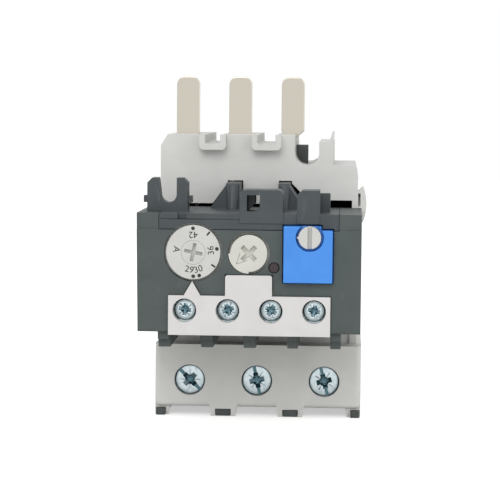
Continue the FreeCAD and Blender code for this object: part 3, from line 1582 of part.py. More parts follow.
def aux_clamp(index):
    """Saddle plate under the screw's head."""
    piece = Piece(f"aux_clamp_{index + 1}")
    front = s.aux_head_front + s.aux_head_thick
    left, right = strip_of(terminal(index), s.aux_plate_width)
    bottom, top = strip_of(s.aux_screw_height, s.aux_clamp_height)
    top = Dim.of(top) - s.slack
    piece.pad("XZ", front, front + s.aux_clamp_thick, Rect(left, right, bottom, top))
    piece.soften("Chamfer", s.aux_clamp_thick * 0.6, "X", (front, bottom))
    piece.pocket("XZ", front - 1, front + s.aux_clamp_thick, Circle(
        terminal(index), s.aux_screw_height, s.aux_shank + s.fit))
    return piece


def aux_screw(index):
    """Auxiliary screw with a cross recess."""
    turns = (8, -20, 30, 12)
    piece = Piece(f"aux_screw_{index + 1}", terminal(index), s.aux_head_front, s.aux_screw_height,
                  Dim.of(turns[index]))
    radius = s.aux_head / 2
    shank = s.aux_shank / 2
    length = s.aux_head_thick + s.aux_shank_length
    piece.turned(
        (ZERO, ZERO), (radius, ZERO), (radius, s.aux_head_thick),
        (shank, s.aux_head_thick), (shank, length), (ZERO, length))
    cross_recess(piece, s.aux_head * 0.62, s.aux_head * 0.17, s.aux_head_thick / 2, 0)
    return piece


def trip_rocker():
    """Two-armed rocker with a finger for the compensation lever; its right arm is raised at rest."""
    piece = Piece("trip_rocker", s.aux_mid, ZERO, s.rocker_pivot)
    bottom = bridge_top - s.rocker_pivot
    top = bottom + s.rocker_arm_thick
    sine, cosine = s.rocker_angle.sine(), s.rocker_angle.cosine()
    lean = sine / (1 + cosine)

    def raised(across, up):
        return across * cosine - up * sine, across * sine + up * cosine

    piece.pad("XZ", s.rocker_front, rocker_back, Polygon(
        (-s.rocker_finger, bottom),
        (-bottom * lean, bottom),
        raised(s.rocker_reach, bottom),
        raised(s.rocker_reach, top),
        (-top * lean, top),
        (-s.rocker_finger, top)))
    piece.pad("XZ", s.rocker_front, rocker_back, Circle(ZERO, ZERO, s.rocker_hub))
    piece.pad("XZ", s.rocker_front, rocker_back, Rect(
        -s.rocker_finger, -s.rocker_finger + s.rocker_finger_thick, bottom, s.rocker_finger_top - s.rocker_pivot))
    piece.pocket("XZ", s.rocker_front - 1, rocker_back, Circle(ZERO, ZERO, s.pivot_pin + s.fit))
    return piece


def contact_bridge(label, first, turn):
    """Silvered strip with two contacts, under one arm of the rocker."""
    piece = Piece(label, s.aux_mid, ZERO, s.rocker_pivot, turn)
    low = bridge_bottom - s.rocker_pivot
    places = [terminal(index) - s.aux_mid for index in (first, first + 1)]
    front, back = strip_of(contact_depth, s.bridge_width)
    piece.pad("XY", low, low + s.bridge_thick, Rect(
        places[0] - s.bridge_width / 3, places[1] + s.bridge_width / 3, front, back))
    piece.pad("XY", low - s.bridge_button, low + s.fit, *[
        square(place, contact_depth, s.contact_button) for place in places])
    return piece


def pin_insulator():
    """Dark block in the notch beside the last blade."""
    piece = Piece("pin_insulator")
    left = s.gauge_notch_mid - s.gauge_notch_width / 2 + s.fit
    shoulder = s.gauge_notch_floor + s.gauge_notch_width / 2
    top = s.gauge_notch_floor + s.insulator_height
    radius = s.gauge_notch_width / 2 - s.fit
    front = blade_back + s.slack
    piece.pad("XZ", front, front + s.insulator_depth, Polygon(
        (left, top),
        (left, shoulder),
        (s.gauge_notch_mid, s.gauge_notch_floor + s.fit, radius),
        (s.gauge_notch_mid, top)))
    return piece


def build():
    """Make every piece."""
    base_housing()
    back_cover()
    back_cover_screws()
    terminal_carrier()
    for index in PHASES:
        connection_pin(index)
        bimetal_strip(index)
        heater_winding(index)
        load_bar(index)
        clamp_cage(index)
        main_screw(index)
    trip_slider()
    differential_slider()
    differential_lever()
    compensation_lever()
    round_pin("compensation_pivot", compensation_mid, s.compensation_pivot, s.lever_pin,
              s.compensation_front - s.slack, housing_back - s.fit)
    front_cover()
    terminal_fascia()
    mounting_bracket()
    setting_dial()
    setting_cam()
    setting_lever()
    round_pin("setting_pivot", lever_pivot, lever_pivot_height, s.lever_pin,
              cover_inside + s.fit, cam_back + s.slack)
    selector_disc()
    test_pin()
    reset_button()
    reset_mode_knob()
    reset_spring()
    contact_carrier()
    for index in TERMINALS:
        aux_terminal(index)
        aux_clamp(index)
        aux_screw(index)
    trip_rocker()
    round_pin("rocker_pivot", s.aux_mid, s.rocker_pivot, s.pivot_pin,
              s.rocker_front - s.slack, carrier_wall_back - s.fit * 6)
    contact_bridge("nc_bridge", 0, ZERO)
    contact_bridge("no_bridge", 2, -s.rocker_angle)
    pin_insulator()


def check_features():
    """Stop on any failed object, and on a pad or pocket that changes nothing."""
    for item in doc.Objects:
        if "Invalid" in item.State or "Error" in item.State:
            raise RuntimeError(f"{item.Label} failed: {item.State}")
    for piece in pieces:
        volume = 0.0
        for feature in piece.body.Group:
            if not feature.isDerivedFrom("PartDesign::Feature"):
                continue
            change = feature.Shape.Volume - volume
            wrong_way = {"PartDesign::Pad": change < 0, "PartDesign::Pocket": change > 0}
            if abs(change) < 1e-6 or wrong_way.get(feature.TypeId, False):
                raise RuntimeError(f"{feature.Label} changed the volume by {change:.4f}")
            volume = feature.Shape.Volume


def export():
    """Write one STEP file for each sub-part."""
    os.makedirs("parts", exist_ok=True)
    for item in [piece.body for piece in pieces] + loose:
        shape = item.Shape
        if shape.isNull() or not shape.isValid():
            raise RuntimeError(f"{item.Label} has no valid shape")
        shape.exportStep(f"parts/{item.Label}.step")


build()
doc.recompute()
check_features()
export()
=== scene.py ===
import logging
import math
from dataclasses import dataclass
from enum import Enum
from typing import Callable, ClassVar, Mapping, Sequence

import bmesh
import bpy
from mathutils import Matrix, Vector


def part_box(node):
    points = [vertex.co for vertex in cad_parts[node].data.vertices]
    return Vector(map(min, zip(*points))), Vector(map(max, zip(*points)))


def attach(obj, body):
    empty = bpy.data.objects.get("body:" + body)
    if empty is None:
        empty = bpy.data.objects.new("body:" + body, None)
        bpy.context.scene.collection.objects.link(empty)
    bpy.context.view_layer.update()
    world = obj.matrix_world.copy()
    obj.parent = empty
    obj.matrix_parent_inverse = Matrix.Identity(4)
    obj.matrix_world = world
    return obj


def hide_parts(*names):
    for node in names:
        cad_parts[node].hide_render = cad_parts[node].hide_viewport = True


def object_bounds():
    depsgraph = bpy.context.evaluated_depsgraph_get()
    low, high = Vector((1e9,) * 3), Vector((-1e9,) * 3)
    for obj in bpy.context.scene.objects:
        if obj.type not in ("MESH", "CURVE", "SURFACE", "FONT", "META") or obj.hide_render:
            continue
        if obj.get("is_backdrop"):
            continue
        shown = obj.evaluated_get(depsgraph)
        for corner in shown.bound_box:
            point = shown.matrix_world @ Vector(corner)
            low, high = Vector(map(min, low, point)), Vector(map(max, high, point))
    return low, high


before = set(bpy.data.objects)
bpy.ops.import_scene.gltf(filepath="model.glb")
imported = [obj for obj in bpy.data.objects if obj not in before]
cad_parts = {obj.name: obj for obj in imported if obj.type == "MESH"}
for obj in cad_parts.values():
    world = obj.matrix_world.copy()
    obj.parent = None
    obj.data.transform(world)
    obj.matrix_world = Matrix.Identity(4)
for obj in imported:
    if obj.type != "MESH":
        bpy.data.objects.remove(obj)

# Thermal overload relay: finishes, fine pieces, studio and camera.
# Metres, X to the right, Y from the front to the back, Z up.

LOG = logging.getLogger("relay")
MM = 0.001

# The sRGB curve.
MAX_BYTE = 255
SRGB_KNEE = 0.04045
SRGB_SLOPE = 12.92
SRGB_OFFSET = 0.055
SRGB_POWER = 2.4

# The colour sockets of a mix node.
MIX_SHARE = 0
MIX_FIRST = 6
MIX_SECOND = 7
MIX_COLOUR = 2

# How edges are rounded: in shading by rays, and in the mesh by modifiers.
BEVEL_RAYS = 6
WELD_MM = 0.002
FLAT_DEGREES = 1.0
EDGE_DEGREES = 35.0
EDGE_SEGMENTS = 2

Pair = tuple[float, float]
Corner = tuple[float, float, float]
Colour = tuple[float, float, float, float]
Shape = bmesh.types.BMesh
Tree = bpy.types.NodeTree
Socket = bpy.types.NodeSocket
Material = bpy.types.Material


def linear(hex_colour: str) -> Colour:
    """Turns an sRGB hex colour into a linear colour.

    Args:
        hex_colour: Six hex digits after a hash sign.

    Returns:
        Red, green and blue as linear values, and an alpha of one.
    """
    parts = [int(hex_colour[i:i + 2], 16) / MAX_BYTE for i in (1, 3, 5)]
    shades = [
        part / SRGB_SLOPE if part <= SRGB_KNEE
        else ((part + SRGB_OFFSET) / (1.0 + SRGB_OFFSET)) ** SRGB_POWER
        for part in parts]
    return shades[0], shades[1], shades[2], 1.0


def per_metre(size_mm: float) -> float:
    """Gives the scale of a texture.

    Args:
        size_mm: How large one cell is to be.

    Returns:
        The scale at which it is.
    """
    return 1.0 / (size_mm * MM)


def add_node(
    tree: Tree, kind: str, settings: Mapping[str, object] | None = None,
    inputs: Mapping[str | int, object] | None = None,
) -> bpy.types.Node:
    """Adds a node, sets its properties, and fills or links its inputs.

    Args:
        tree: The node tree that gets the node.
        kind: The node's type name.
        settings: Property names and their values.
        inputs: Input names or numbers, each with a plain value or the output to link.

    Returns:
        The new node.
    """
    node = tree.nodes.new(kind)
    for name, value in (settings or {}).items():
        setattr(node, name, value)
    for name, value in (inputs or {}).items():
        if isinstance(value, Socket):
            tree.links.new(value, node.inputs[name])
        else:
            node.inputs[name].default_value = value
    return node


def add_noise(tree: Tree, place: Socket, cell_mm: float, **others: float) -> Socket:
    """Adds a noise texture.

    Args:
        tree: The node tree that gets it.
        place: The coordinates that it is drawn in.
        cell_mm: The size of its cells.
        others: The values of its other inputs.

    Returns:
        Its grey output.
    """
    return add_node(tree, "ShaderNodeTexNoise", inputs={
        "Vector": place, "Scale": per_metre(cell_mm), **others}).outputs["Fac"]


def remap(tree: Tree, value: Socket, old: Pair, new: Pair = (0.0, 1.0)) -> Socket:
    """Maps one range of values to another and holds what lies outside.

    Args:
        tree: The node tree that gets the node.
        value: The value to map.
        old: Its range.
        new: The range that it gets.

    Returns:
        The mapped value.
    """
    return add_node(tree, "ShaderNodeMapRange", inputs={
        "Value": value, "From Min": old[0], "From Max": old[1],
        "To Min": new[0], "To Max": new[1]}).outputs["Result"]


def mix_colours(tree: Tree, share: Socket, first: Socket | Colour, second: Colour) -> Socket:
    """Mixes two colours.

    Args:
        tree: The node tree that gets the node.
        share: How much of the second colour shows.
        first: The first colour.
        second: The second colour.

    Returns:
        The mixed colour.
    """
    return add_node(tree, "ShaderNodeMix", {"data_type": "RGBA"}, {
        MIX_SHARE: share, MIX_FIRST: first, MIX_SECOND: second}).outputs[MIX_COLOUR]


def new_material(name: str) -> tuple[Material, Tree]:
    """Makes an empty node material.

    Args:
        name: Its name.

    Returns:
        The material and its tree.
    """
    material = bpy.data.materials.new(name)
    material.use_nodes = True
    material.node_tree.nodes.clear()
    return material, material.node_tree


# ---------------------------------------------------------------- finishes


@dataclass(frozen=True)
class MouldedPlastic:
    """Injection-moulded thermoplastic from a spark-eroded tool."""

    name: str
    colour: str
    shade: str
    roughness: float = 0.48
    ior: float = 1.53
    grain_mm: float = 0.45
    grain_depth_mm: float = 0.012
    mottle_mm: float = 7.0
    scuffs: float = 0.0
    edge_mm: float = 0.16
    mottle_range: ClassVar[Pair] = (0.35, 0.65)
    grain_range: ClassVar[Pair] = (0.3, 0.7)
    less_rough: ClassVar[float] = 0.05
    more_rough: ClassVar[float] = 0.07
    rub_mm: ClassVar[float] = 2.2
    rub_stretch: ClassVar[Corner] = (1.0, 1.0, 0.35)
    rub_turn: ClassVar[Corner] = (0.3, 0.5, 0.0)
    rub_range: ClassVar[Pair] = (0.6, 0.8)
    rub_colour: ClassVar[str] = "#C8CCCC"

    def make(self) -> Material:
        """Builds the material.

        The eroded tool leaves a fine even grain. The real grain is about 0.1 mm; it is drawn
        at grain_mm so that it shows. Slow flow marks vary the colour and the gloss a little,
        handling leaves pale scuffs on dark mouldings, and every edge is softly rounded.
        """
        material, tree = new_material(self.name)
        place = add_node(tree, "ShaderNodeTexCoord").outputs["Object"]
        grain = add_noise(tree, place, self.grain_mm, Detail=2.0, Roughness=0.6)
        mottle = add_noise(tree, place, self.mottle_mm, Detail=3.0, Distortion=0.4)
        colour = mix_colours(
            tree, remap(tree, mottle, self.mottle_range), linear(self.colour), linear(self.shade))
        if self.scuffs:
            colour = self.scuffed(tree, place, colour)
        gloss = remap(tree, grain, self.grain_range, (
            self.roughness - self.less_rough, self.roughness + self.more_rough))
        edges = add_node(
            tree, "ShaderNodeBevel", {"samples": BEVEL_RAYS}, {"Radius": self.edge_mm * MM})
        relief = add_node(tree, "ShaderNodeBump", inputs={
            "Strength": 1.0, "Distance": self.grain_depth_mm * MM, "Height": grain,
            "Normal": edges.outputs["Normal"]})
        shader = add_node(tree, "ShaderNodeBsdfPrincipled", inputs={
            "Base Color": colour, "Roughness": gloss, "IOR": self.ior,
            "Normal": relief.outputs["Normal"]})
        add_node(tree, "ShaderNodeOutputMaterial", inputs={"Surface": shader.outputs["BSDF"]})
        return material

    def scuffed(self, tree: Tree, place: Socket, colour: Socket) -> Socket:
        """Lays short pale rub marks over a colour.

        Args:
            tree: The material's tree.
            place: The coordinates to draw in.
            colour: The colour under the marks.

        Returns:
            The marked colour.
        """
        drawn_out = add_node(tree, "ShaderNodeMapping", inputs={
            "Vector": place, "Scale": self.rub_stretch, "Rotation": self.rub_turn})
        rubs = add_noise(
            tree, drawn_out.outputs["Vector"], self.rub_mm, Detail=6.0, Roughness=0.7)
        amount = remap(tree, rubs, self.rub_range, (0.0, self.scuffs))
        return mix_colours(tree, amount, colour, linear(self.rub_colour))


@dataclass(frozen=True)
class PlatedMetal:
    """Sheet or wire metal with a thin plating, or bare and slightly tarnished."""

    name: str
    colour: str
    tarnish: str
    roughness: float = 0.36
    streak_mm: float = 0.25
    streak_length_mm: float = 4.0
    streak_depth_mm: float = 0.006
    patch_mm: float = 2.5
    patch_share: float = 0.5
    edge_mm: float = 0.08
    patch_range: ClassVar[Pair] = (0.42, 0.68)
    streak_range: ClassVar[Pair] = (0.3, 0.7)
    streak_strength: ClassVar[float] = 0.6
    less_rough: ClassVar[float] = 0.06
    more_rough: ClassVar[float] = 0.12

    def make(self) -> Material:
        """Builds the material.

        Rolling leaves fine lines along the strip, here along Z, which catch the light as soft
        streaks. The plating is cloudy, so colour and gloss drift in small patches, and the
        tumbled edges are slightly round.
        """
        material, tree = new_material(self.name)
        place = add_node(tree, "ShaderNodeTexCoord").outputs["Object"]
        along = add_node(tree, "ShaderNodeMapping", inputs={
            "Vector": place, "Scale": (1.0, 1.0, self.streak_mm / self.streak_length_mm)})
        streaks = add_noise(tree, along.outputs["Vector"], self.streak_mm, Detail=3.0)
        patches = add_noise(tree, place, self.patch_mm, Detail=5.0, Roughness=0.65)
        cloud = remap(tree, patches, self.patch_range, (0.0, self.patch_share))
        colour = mix_colours(tree, cloud, linear(self.colour), linear(self.tarnish))
        gloss = remap(tree, streaks, self.streak_range, (
            self.roughness - self.less_rough, self.roughness + self.more_rough))
        edges = add_node(
            tree, "ShaderNodeBevel", {"samples": BEVEL_RAYS}, {"Radius": self.edge_mm * MM})
        relief = add_node(tree, "ShaderNodeBump", inputs={
            "Strength": self.streak_strength, "Distance": self.streak_depth_mm * MM,
            "Height": streaks, "Normal": edges.outputs["Normal"]})
        shader = add_node(tree, "ShaderNodeBsdfPrincipled", inputs={
            "Base Color": colour, "Metallic": 1.0, "Roughness": gloss,
            "Normal": relief.outputs["Normal"]})
        add_node(tree, "ShaderNodeOutputMaterial", inputs={"Surface": shader.outputs["BSDF"]})
        return material


@dataclass(frozen=True)
class PrintInk:
    """Pad-printed ink: a thin matt film."""

    name: str
    colour: str
    worn: str
    film_mm: float = 0.3
    film_range: ClassVar[Pair] = (0.5, 0.8)

    def make(self) -> Material:
        """Builds the material, darker where the film is thick and greyer where it is thin."""
        material, tree = new_material(self.name)
        place = add_node(tree, "ShaderNodeTexCoord").outputs["Object"]
        film = add_noise(tree, place, self.film_mm, Detail=3.0)
        thin = remap(tree, film, self.film_range)
        colour = mix_colours(tree, thin, linear(self.colour), linear(self.worn))
        shader = add_node(tree, "ShaderNodeBsdfPrincipled", inputs={
            "Base Color": colour, "Roughness": 0.55, "IOR": 1.5})
        add_node(tree, "ShaderNodeOutputMaterial", inputs={"Surface": shader.outputs["BSDF"]})
        return material


class Finish(Enum):
    """Every finish on the relay."""

    # Light grey polycarbonate blend: pale, satin, hardly any colour of its own.
    LIGHT_POLYCARBONATE = MouldedPlastic("light_polycarbonate", "#D0D0CD", "#CBCBC8", 0.5)
    # The fascia is the same resin in a paler batch.
    PALE_POLYCARBONATE = MouldedPlastic("pale_polycarbonate", "#CECDCC", "#CAC8C7", 0.45)
    # Glass-filled polyamide: dark blue-grey, satin, with pale rub marks.
    DARK_POLYAMIDE = MouldedPlastic("dark_polyamide", "#434C4B", "#3D4645", 0.5, scuffs=0.07)
    # The bracket is a slightly bluer batch of the same polyamide.
    BRACKET_POLYAMIDE = MouldedPlastic("bracket_polyamide", "#3A4145", "#353C3F", 0.45, scuffs=0.08)
    # Black-grey thermoset inside: dull and a little chalky.
    THERMOSET = MouldedPlastic(
        "black_thermoset", "#3B403F", "#454A49", 0.6, 1.55, grain_mm=0.6, grain_depth_mm=0.02,
        mottle_mm=4.0)
    # Natural polyamide for the sliders: ivory and waxy.
    NATURAL_POLYAMIDE = MouldedPlastic("natural_polyamide", "#CFC9B8", "#C6BFAC", 0.42)
    # White acetal: bright, slightly warm, smooth.
    WHITE_ACETAL = MouldedPlastic(
        "white_acetal", "#C4C4C1", "#BFBFBB", 0.38, 1.48, grain_mm=0.5, grain_depth_mm=0.006)
    # The same acetal, darker: painted shade on a fine line or a recess.
    SHADED_ACETAL = MouldedPlastic(
        "painted_shade_acetal", "#9C9C97", "#92928D", 0.5, 1.48, grain_mm=0.5, grain_depth_mm=0.006)
    # The disc is a greyer batch of acetal.
    GREY_ACETAL = MouldedPlastic(
        "grey_acetal", "#CACAC3", "#C4C4BC", 0.4, 1.48, grain_mm=0.5, grain_depth_mm=0.006)
    # Blue polycarbonate cap: strong clean blue with a satin skin.
    BLUE_POLYCARBONATE = MouldedPlastic("blue_polycarbonate", "#3A88DE", "#3581D7", 0.36, 1.58)
    # The tester is red polyamide, drawn very dark: painted shade for its depth in the hole.
    RED_POLYAMIDE = MouldedPlastic("shade_painted_red_polyamide", "#35262A", "#2A1F22", 0.5)
    # Tin on copper: warm pale grey, cloudy, rolled along the blade.
    TINNED_COPPER = PlatedMetal("tinned_copper", "#D3CDBF", "#C2B69E", 0.4)
    # Blue-passivated zinc on steel: cold bright face with faint violet and green clouds.
    BLUE_ZINC = PlatedMetal(
        "blue_zinc", "#E2EDF1", "#9DB9C4", 0.34, streak_mm=0.2, streak_length_mm=0.4,
        streak_depth_mm=0.005, patch_mm=1.0)
    # The same zinc, darker, for the faces inside a driver's recess: painted shade.
    RECESS_ZINC = PlatedMetal(
        "recess_painted_shade_zinc", "#66858F", "#4A6671", 0.42, streak_mm=0.2, streak_length_mm=0.4,
        streak_depth_mm=0.004, patch_mm=1.2)
    # Plain steel pins and springs.
    BRIGHT_STEEL = PlatedMetal("bright_steel", "#B4B4B0", "#9C9A94", 0.28)
    # Rolled bimetal: one steel face, one nickel-iron face, straw-coloured by heat.
    BIMETAL = PlatedMetal("rolled_bimetal", "#B8B0A0", "#9A8E78", 0.34)
    # Resistance ribbon, browned by heat.
    HEATER_RIBBON = PlatedMetal("heater_ribbon", "#8E857A", "#6E6256", 0.45)
    # Brass contact parts, slightly dull.
    CONTACT_BRASS = PlatedMetal("contact_brass", "#C9AE6C", "#B0935A", 0.33)
    # Black pad-printing ink.
    BLACK_INK = PrintInk("black_print_ink", "#151515", "#3A3A3A")

    @property
    def material(self) -> Material:
        """The finish's material, made once."""
        return bpy.data.materials.get(self.value.name) or self.value.make()


# ---------------------------------------------------------------- meshes


def new_object(name: str, data: bpy.types.ID) -> bpy.types.Object:
    """Makes an object and links it to the scene.

    Args:
        name: Its name.
        data: Its mesh, curve, lamp or camera.

    Returns:
        The object.
    """
    made = bpy.data.objects.new(name, data)
    bpy.context.scene.collection.objects.link(made)
    return made


def dress(node: str, finish: Finish, edge_mm: float = 0.0, fine: bool = True) -> None:
    """Gives a CAD node its finish and, by modifiers, moulded or deburred edges.

    Args:
        node: The CAD node's name.
        finish: Its finish.
        edge_mm: The width of the rounded edges, or zero for none.
        fine: Whether the node has details finer than its edges, which then stay narrower.
    """
    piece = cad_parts[node]
    for number in range(max(1, len(piece.data.materials))):
        if number < len(piece.data.materials):
            piece.data.materials[number] = finish.material
        else:
            piece.data.materials.append(finish.material)
    if edge_mm:
        mould_edges(piece, edge_mm, fine)
    LOG.info("dressed %s in %s", node, finish.value.name)


def add_bevel(piece: bpy.types.Object, edge_mm: float, angle: float) -> bpy.types.BevelModifier:
    """Adds the modifier that rounds a piece's edges.

    Args:
        piece: The piece.
        edge_mm: The width of the rounded edges.
        angle: The angle in degrees from which an edge counts as sharp.

    Returns:
        The modifier.
    """
    edge = piece.modifiers.new("edge", "BEVEL")
    edge.width = edge_mm * MM
    edge.segments = EDGE_SEGMENTS
    edge.limit_method = "ANGLE"
    edge.angle_limit = math.radians(angle)
    return edge


def mould_edges(piece: bpy.types.Object, edge_mm: float, fine: bool = True) -> None:
    """Joins a solid's flat faces and rounds its edges by modifiers.

    Args:
        piece: The piece.
        edge_mm: The width of the rounded edges.
        fine: Whether the piece has details finer than its edges, which then stay narrower.
    """
    weld = piece.modifiers.new("weld", "WELD")
    weld.merge_threshold = WELD_MM * MM
    flats = piece.modifiers.new("flats", "DECIMATE")
    flats.decimate_type = "DISSOLVE"
    flats.angle_limit = math.radians(FLAT_DEGREES)
    edge = add_bevel(piece, edge_mm, EDGE_DEGREES)
    edge.use_clamp_overlap = fine
    edge.harden_normals = True


def copy_solid(node: str) -> bpy.types.Object:
    """Copies a CAD node into a new piece, which then replaces it.

    Args:
        node: The CAD node's name.

    Returns:
        The new piece.
    """
    piece = new_object(node + "_piece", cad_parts[node].data.copy())
    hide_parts(node)
    return piece


def to_metres(x: float, y: float, z: float) -> Vector:
    """Turns a place in millimetres into metres.

    Args:
        x: How far to the right it is.
        y: How far back it is.
        z: How high it is.

    Returns:
        The place in metres.
    """
    return Vector((x * MM, y * MM, z * MM))


def add_block(shape: Shape, near: Sequence[Corner], far: Sequence[Corner]) -> None:
    """Adds a closed block between two loops of corners in millimetres.

    Args:
        shape: The mesh that gets the block.
        near: The corners of one end, in order.
        far: The matching corners of the other end.
    """
    first = [shape.verts.new(to_metres(*corner)) for corner in near]
    last = [shape.verts.new(to_metres(*corner)) for corner in far]
    shape.faces.new(first)
    shape.faces.new(list(reversed(last)))
    count = len(first)
    for place in range(count):
        after = (place + 1) % count
        shape.faces.new((first[place], last[place], last[after], first[after]))


def add_bar(
    shape: Shape, top: Pair, bottom: Pair, near: float, far: float, turn: float = 0.0,
    shift: float = 0.0,
) -> None:
    """Adds a straight-sided or tapered bar that runs back along Y from its face.

    Args:
        shape: The mesh that gets the bar.
        top: Length and width at the near end, in millimetres.
        bottom: Length and width at the far end.
        near: Depth of the near end along Y.
        far: Depth of the far end along Y.
        turn: Turn about Y in degrees, anticlockwise from the front.
        shift: How far the bar's middle is moved along its own length.
    """
    cosine, sine = math.cos(math.radians(turn)), math.sin(math.radians(turn))

    def loop(size: Pair, depth: float) -> list[Corner]:
        half_length, half_width = size[0] / 2, size[1] / 2
        corners = ((-half_length, -half_width), (half_length, -half_width),
                   (half_length, half_width), (-half_length, half_width))
        return [((u + shift) * cosine - v * sine, depth, (u + shift) * sine + v * cosine)
                for u, v in corners]

    add_block(shape, loop(top, near), loop(bottom, far))


def add_turned(shape: Shape, profile: Sequence[Pair], steps: int) -> None:
    """Adds a body turned about the Y axis.

    Args:
        shape: The mesh that gets the body.
        profile: Radius and depth of each corner in millimetres; both ends lie on the axis.
        steps: How many faces go round.
    """
    rings: list[list[bmesh.types.BMVert]] = []
    for radius, depth in profile:
        if radius == 0:
            rings.append([shape.verts.new(to_metres(0.0, depth, 0.0))])
            continue
        angles = [math.tau * step / steps for step in range(steps)]
        rings.append([
            shape.verts.new(to_metres(radius * math.cos(a), depth, radius * math.sin(a)))
            for a in angles])
    for one, other in zip(rings, rings[1:]):
        for step in range(steps):
            after = (step + 1) % steps
            corners = [one[step % len(one)], one[after % len(one)],
                       other[after % len(other)], other[step % len(other)]]
            shape.faces.new(list(dict.fromkeys(corners)))


def add_band(shape: Shape, section: Sequence[Pair], steps: int = 96) -> None:
    """Adds a closed ring about the Y axis.

    Args:
        shape: The mesh that gets the ring.
        section: Radius and depth of its section's corners in millimetres, in order.
        steps: How many faces go round.
    """
    rings = []
    for step in range(steps):
        angle = math.tau * step / steps
        rings.append([
            shape.verts.new(to_metres(r * math.cos(angle), depth, r * math.sin(angle)))
            for r, depth in section])
    count = len(section)
    for step in range(steps):
        one, other = rings[step], rings[(step + 1) % steps]
        for corner in range(count):
            after = (corner + 1) % count
            shape.faces.new((one[corner], one[after], other[after], other[corner]))


def add_thread(
    shape: Shape, crest: float, root: float, pitch: float, near: float, far: float,
    steps: int = 32, rows_per_turn: int = 8, flank: float = 1.6, groove: float = 0.2,
) -> None:
    """Adds a threaded rod about the Y axis.

    Args:
        shape: The mesh that gets the rod.
        crest: Radius over the thread in millimetres.
        root: Radius in its groove.
        pitch: Distance between turns.
        near: Depth at which the rod starts.
        far: Depth at which it ends.
        steps: How many faces go round.
        rows_per_turn: How many rows make one pitch.
        flank: How steep the thread's sides are, in thread heights per half pitch.
        groove: How far they are sunk, in thread heights, which leaves the groove flat.
    """
    count = round((far - near) / pitch * rows_per_turn)
    rings = []
    for depth in (near + (far - near) * row / count for row in range(count + 1)):
        ring = []
        for step in range(steps):
            part = ((depth - near) / pitch + step / steps) % 1.0
            lift = min(1.0, max(0.0, flank * (1.0 - abs(2.0 * part - 1.0)) - groove))
            ends = min(1.0, (depth - near) / pitch, (far - depth) / pitch)
            radius = root + (crest - root) * lift * max(0.0, ends)
            angle = math.tau * step / steps
            ring.append(shape.verts.new(
                to_metres(radius * math.cos(angle), depth, radius * math.sin(angle))))
        rings.append(ring)
    for one, other in zip(rings, rings[1:]):
        for step in range(steps):
            after = (step + 1) % steps
            shape.faces.new((one[step], one[after], other[after], other[step]))
    shape.faces.new(rings[0])
    shape.faces.new(list(reversed(rings[-1])))


def to_object(name: str, shape: Shape) -> bpy.types.Object:
    """Turns a shape into a linked object with outward faces.

    Args:
        name: The object's name.
        shape: The shape, freed here.

    Returns:
        The object.
    """
    bmesh.ops.recalc_face_normals(shape, faces=shape.faces)
    mesh = bpy.data.meshes.new(name)
    shape.to_mesh(mesh)
    shape.free()
    return new_object(name, mesh)


def join(shape: Shape, other: Shape) -> None:
    """Adds one shape to another.

    Args:
        shape: The shape that gets the other.
        other: The other shape, freed here.
    """
    mesh = bpy.data.meshes.new("joined")
    other.to_mesh(mesh)
    other.free()
    shape.from_mesh(mesh)
    bpy.data.meshes.remove(mesh)


def carve(piece: bpy.types.Object, shape: Shape) -> None:
    """Cuts a shape out of a piece and keeps only the result.

    Args:
        piece: The piece to cut.
        shape: The cutter, freed here.
    """
    cutter = to_object("cutter", shape)
    cut = piece.modifiers.new("cut", "BOOLEAN")
    cut.operation = "DIFFERENCE"
    cut.solver = "EXACT"
    cut.use_self = True
    cut.object = cutter
    bpy.context.view_layer.update()
    graph = bpy.context.evaluated_depsgraph_get()
    carved = bpy.data.meshes.new_from_object(piece.evaluated_get(graph), depsgraph=graph)
    piece.modifiers.clear()
    plain = piece.data
    piece.data = carved
    bpy.data.meshes.remove(plain)
    bpy.data.objects.remove(cutter)


def smooth(piece: bpy.types.Object, edge_mm: float, angle: float = EDGE_DEGREES) -> None:
    """Rounds a piece's edges and shades its curved faces smoothly.

    Args:
        piece: The piece.
        edge_mm: The width of the rounded edges.
        angle: The angle in degrees from which an edge counts as sharp.
    """
    edge = add_bevel(piece, edge_mm, angle)
    edge.use_clamp_overlap = False
    piece.data.shade_smooth()
    even = piece.modifiers.new("even", "WEIGHTED_NORMAL")
    even.keep_sharp = False


def install(piece: bpy.types.Object, body: str, slot: str, *finishes: Finish) -> None:
    """Gives a new piece its finishes and its body.

    Args:
        piece: The piece, already where it belongs.
        body: The CAD body that it moves with.
        slot: The record's material slot that it belongs to; not used.
        finishes: One finish for each of its materials.
    """
    piece.data.materials.clear()
    for finish in finishes:
        piece.data.materials.append(finish.material)
    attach(piece, body)
    LOG.info("made %s on %s", piece.name, body)


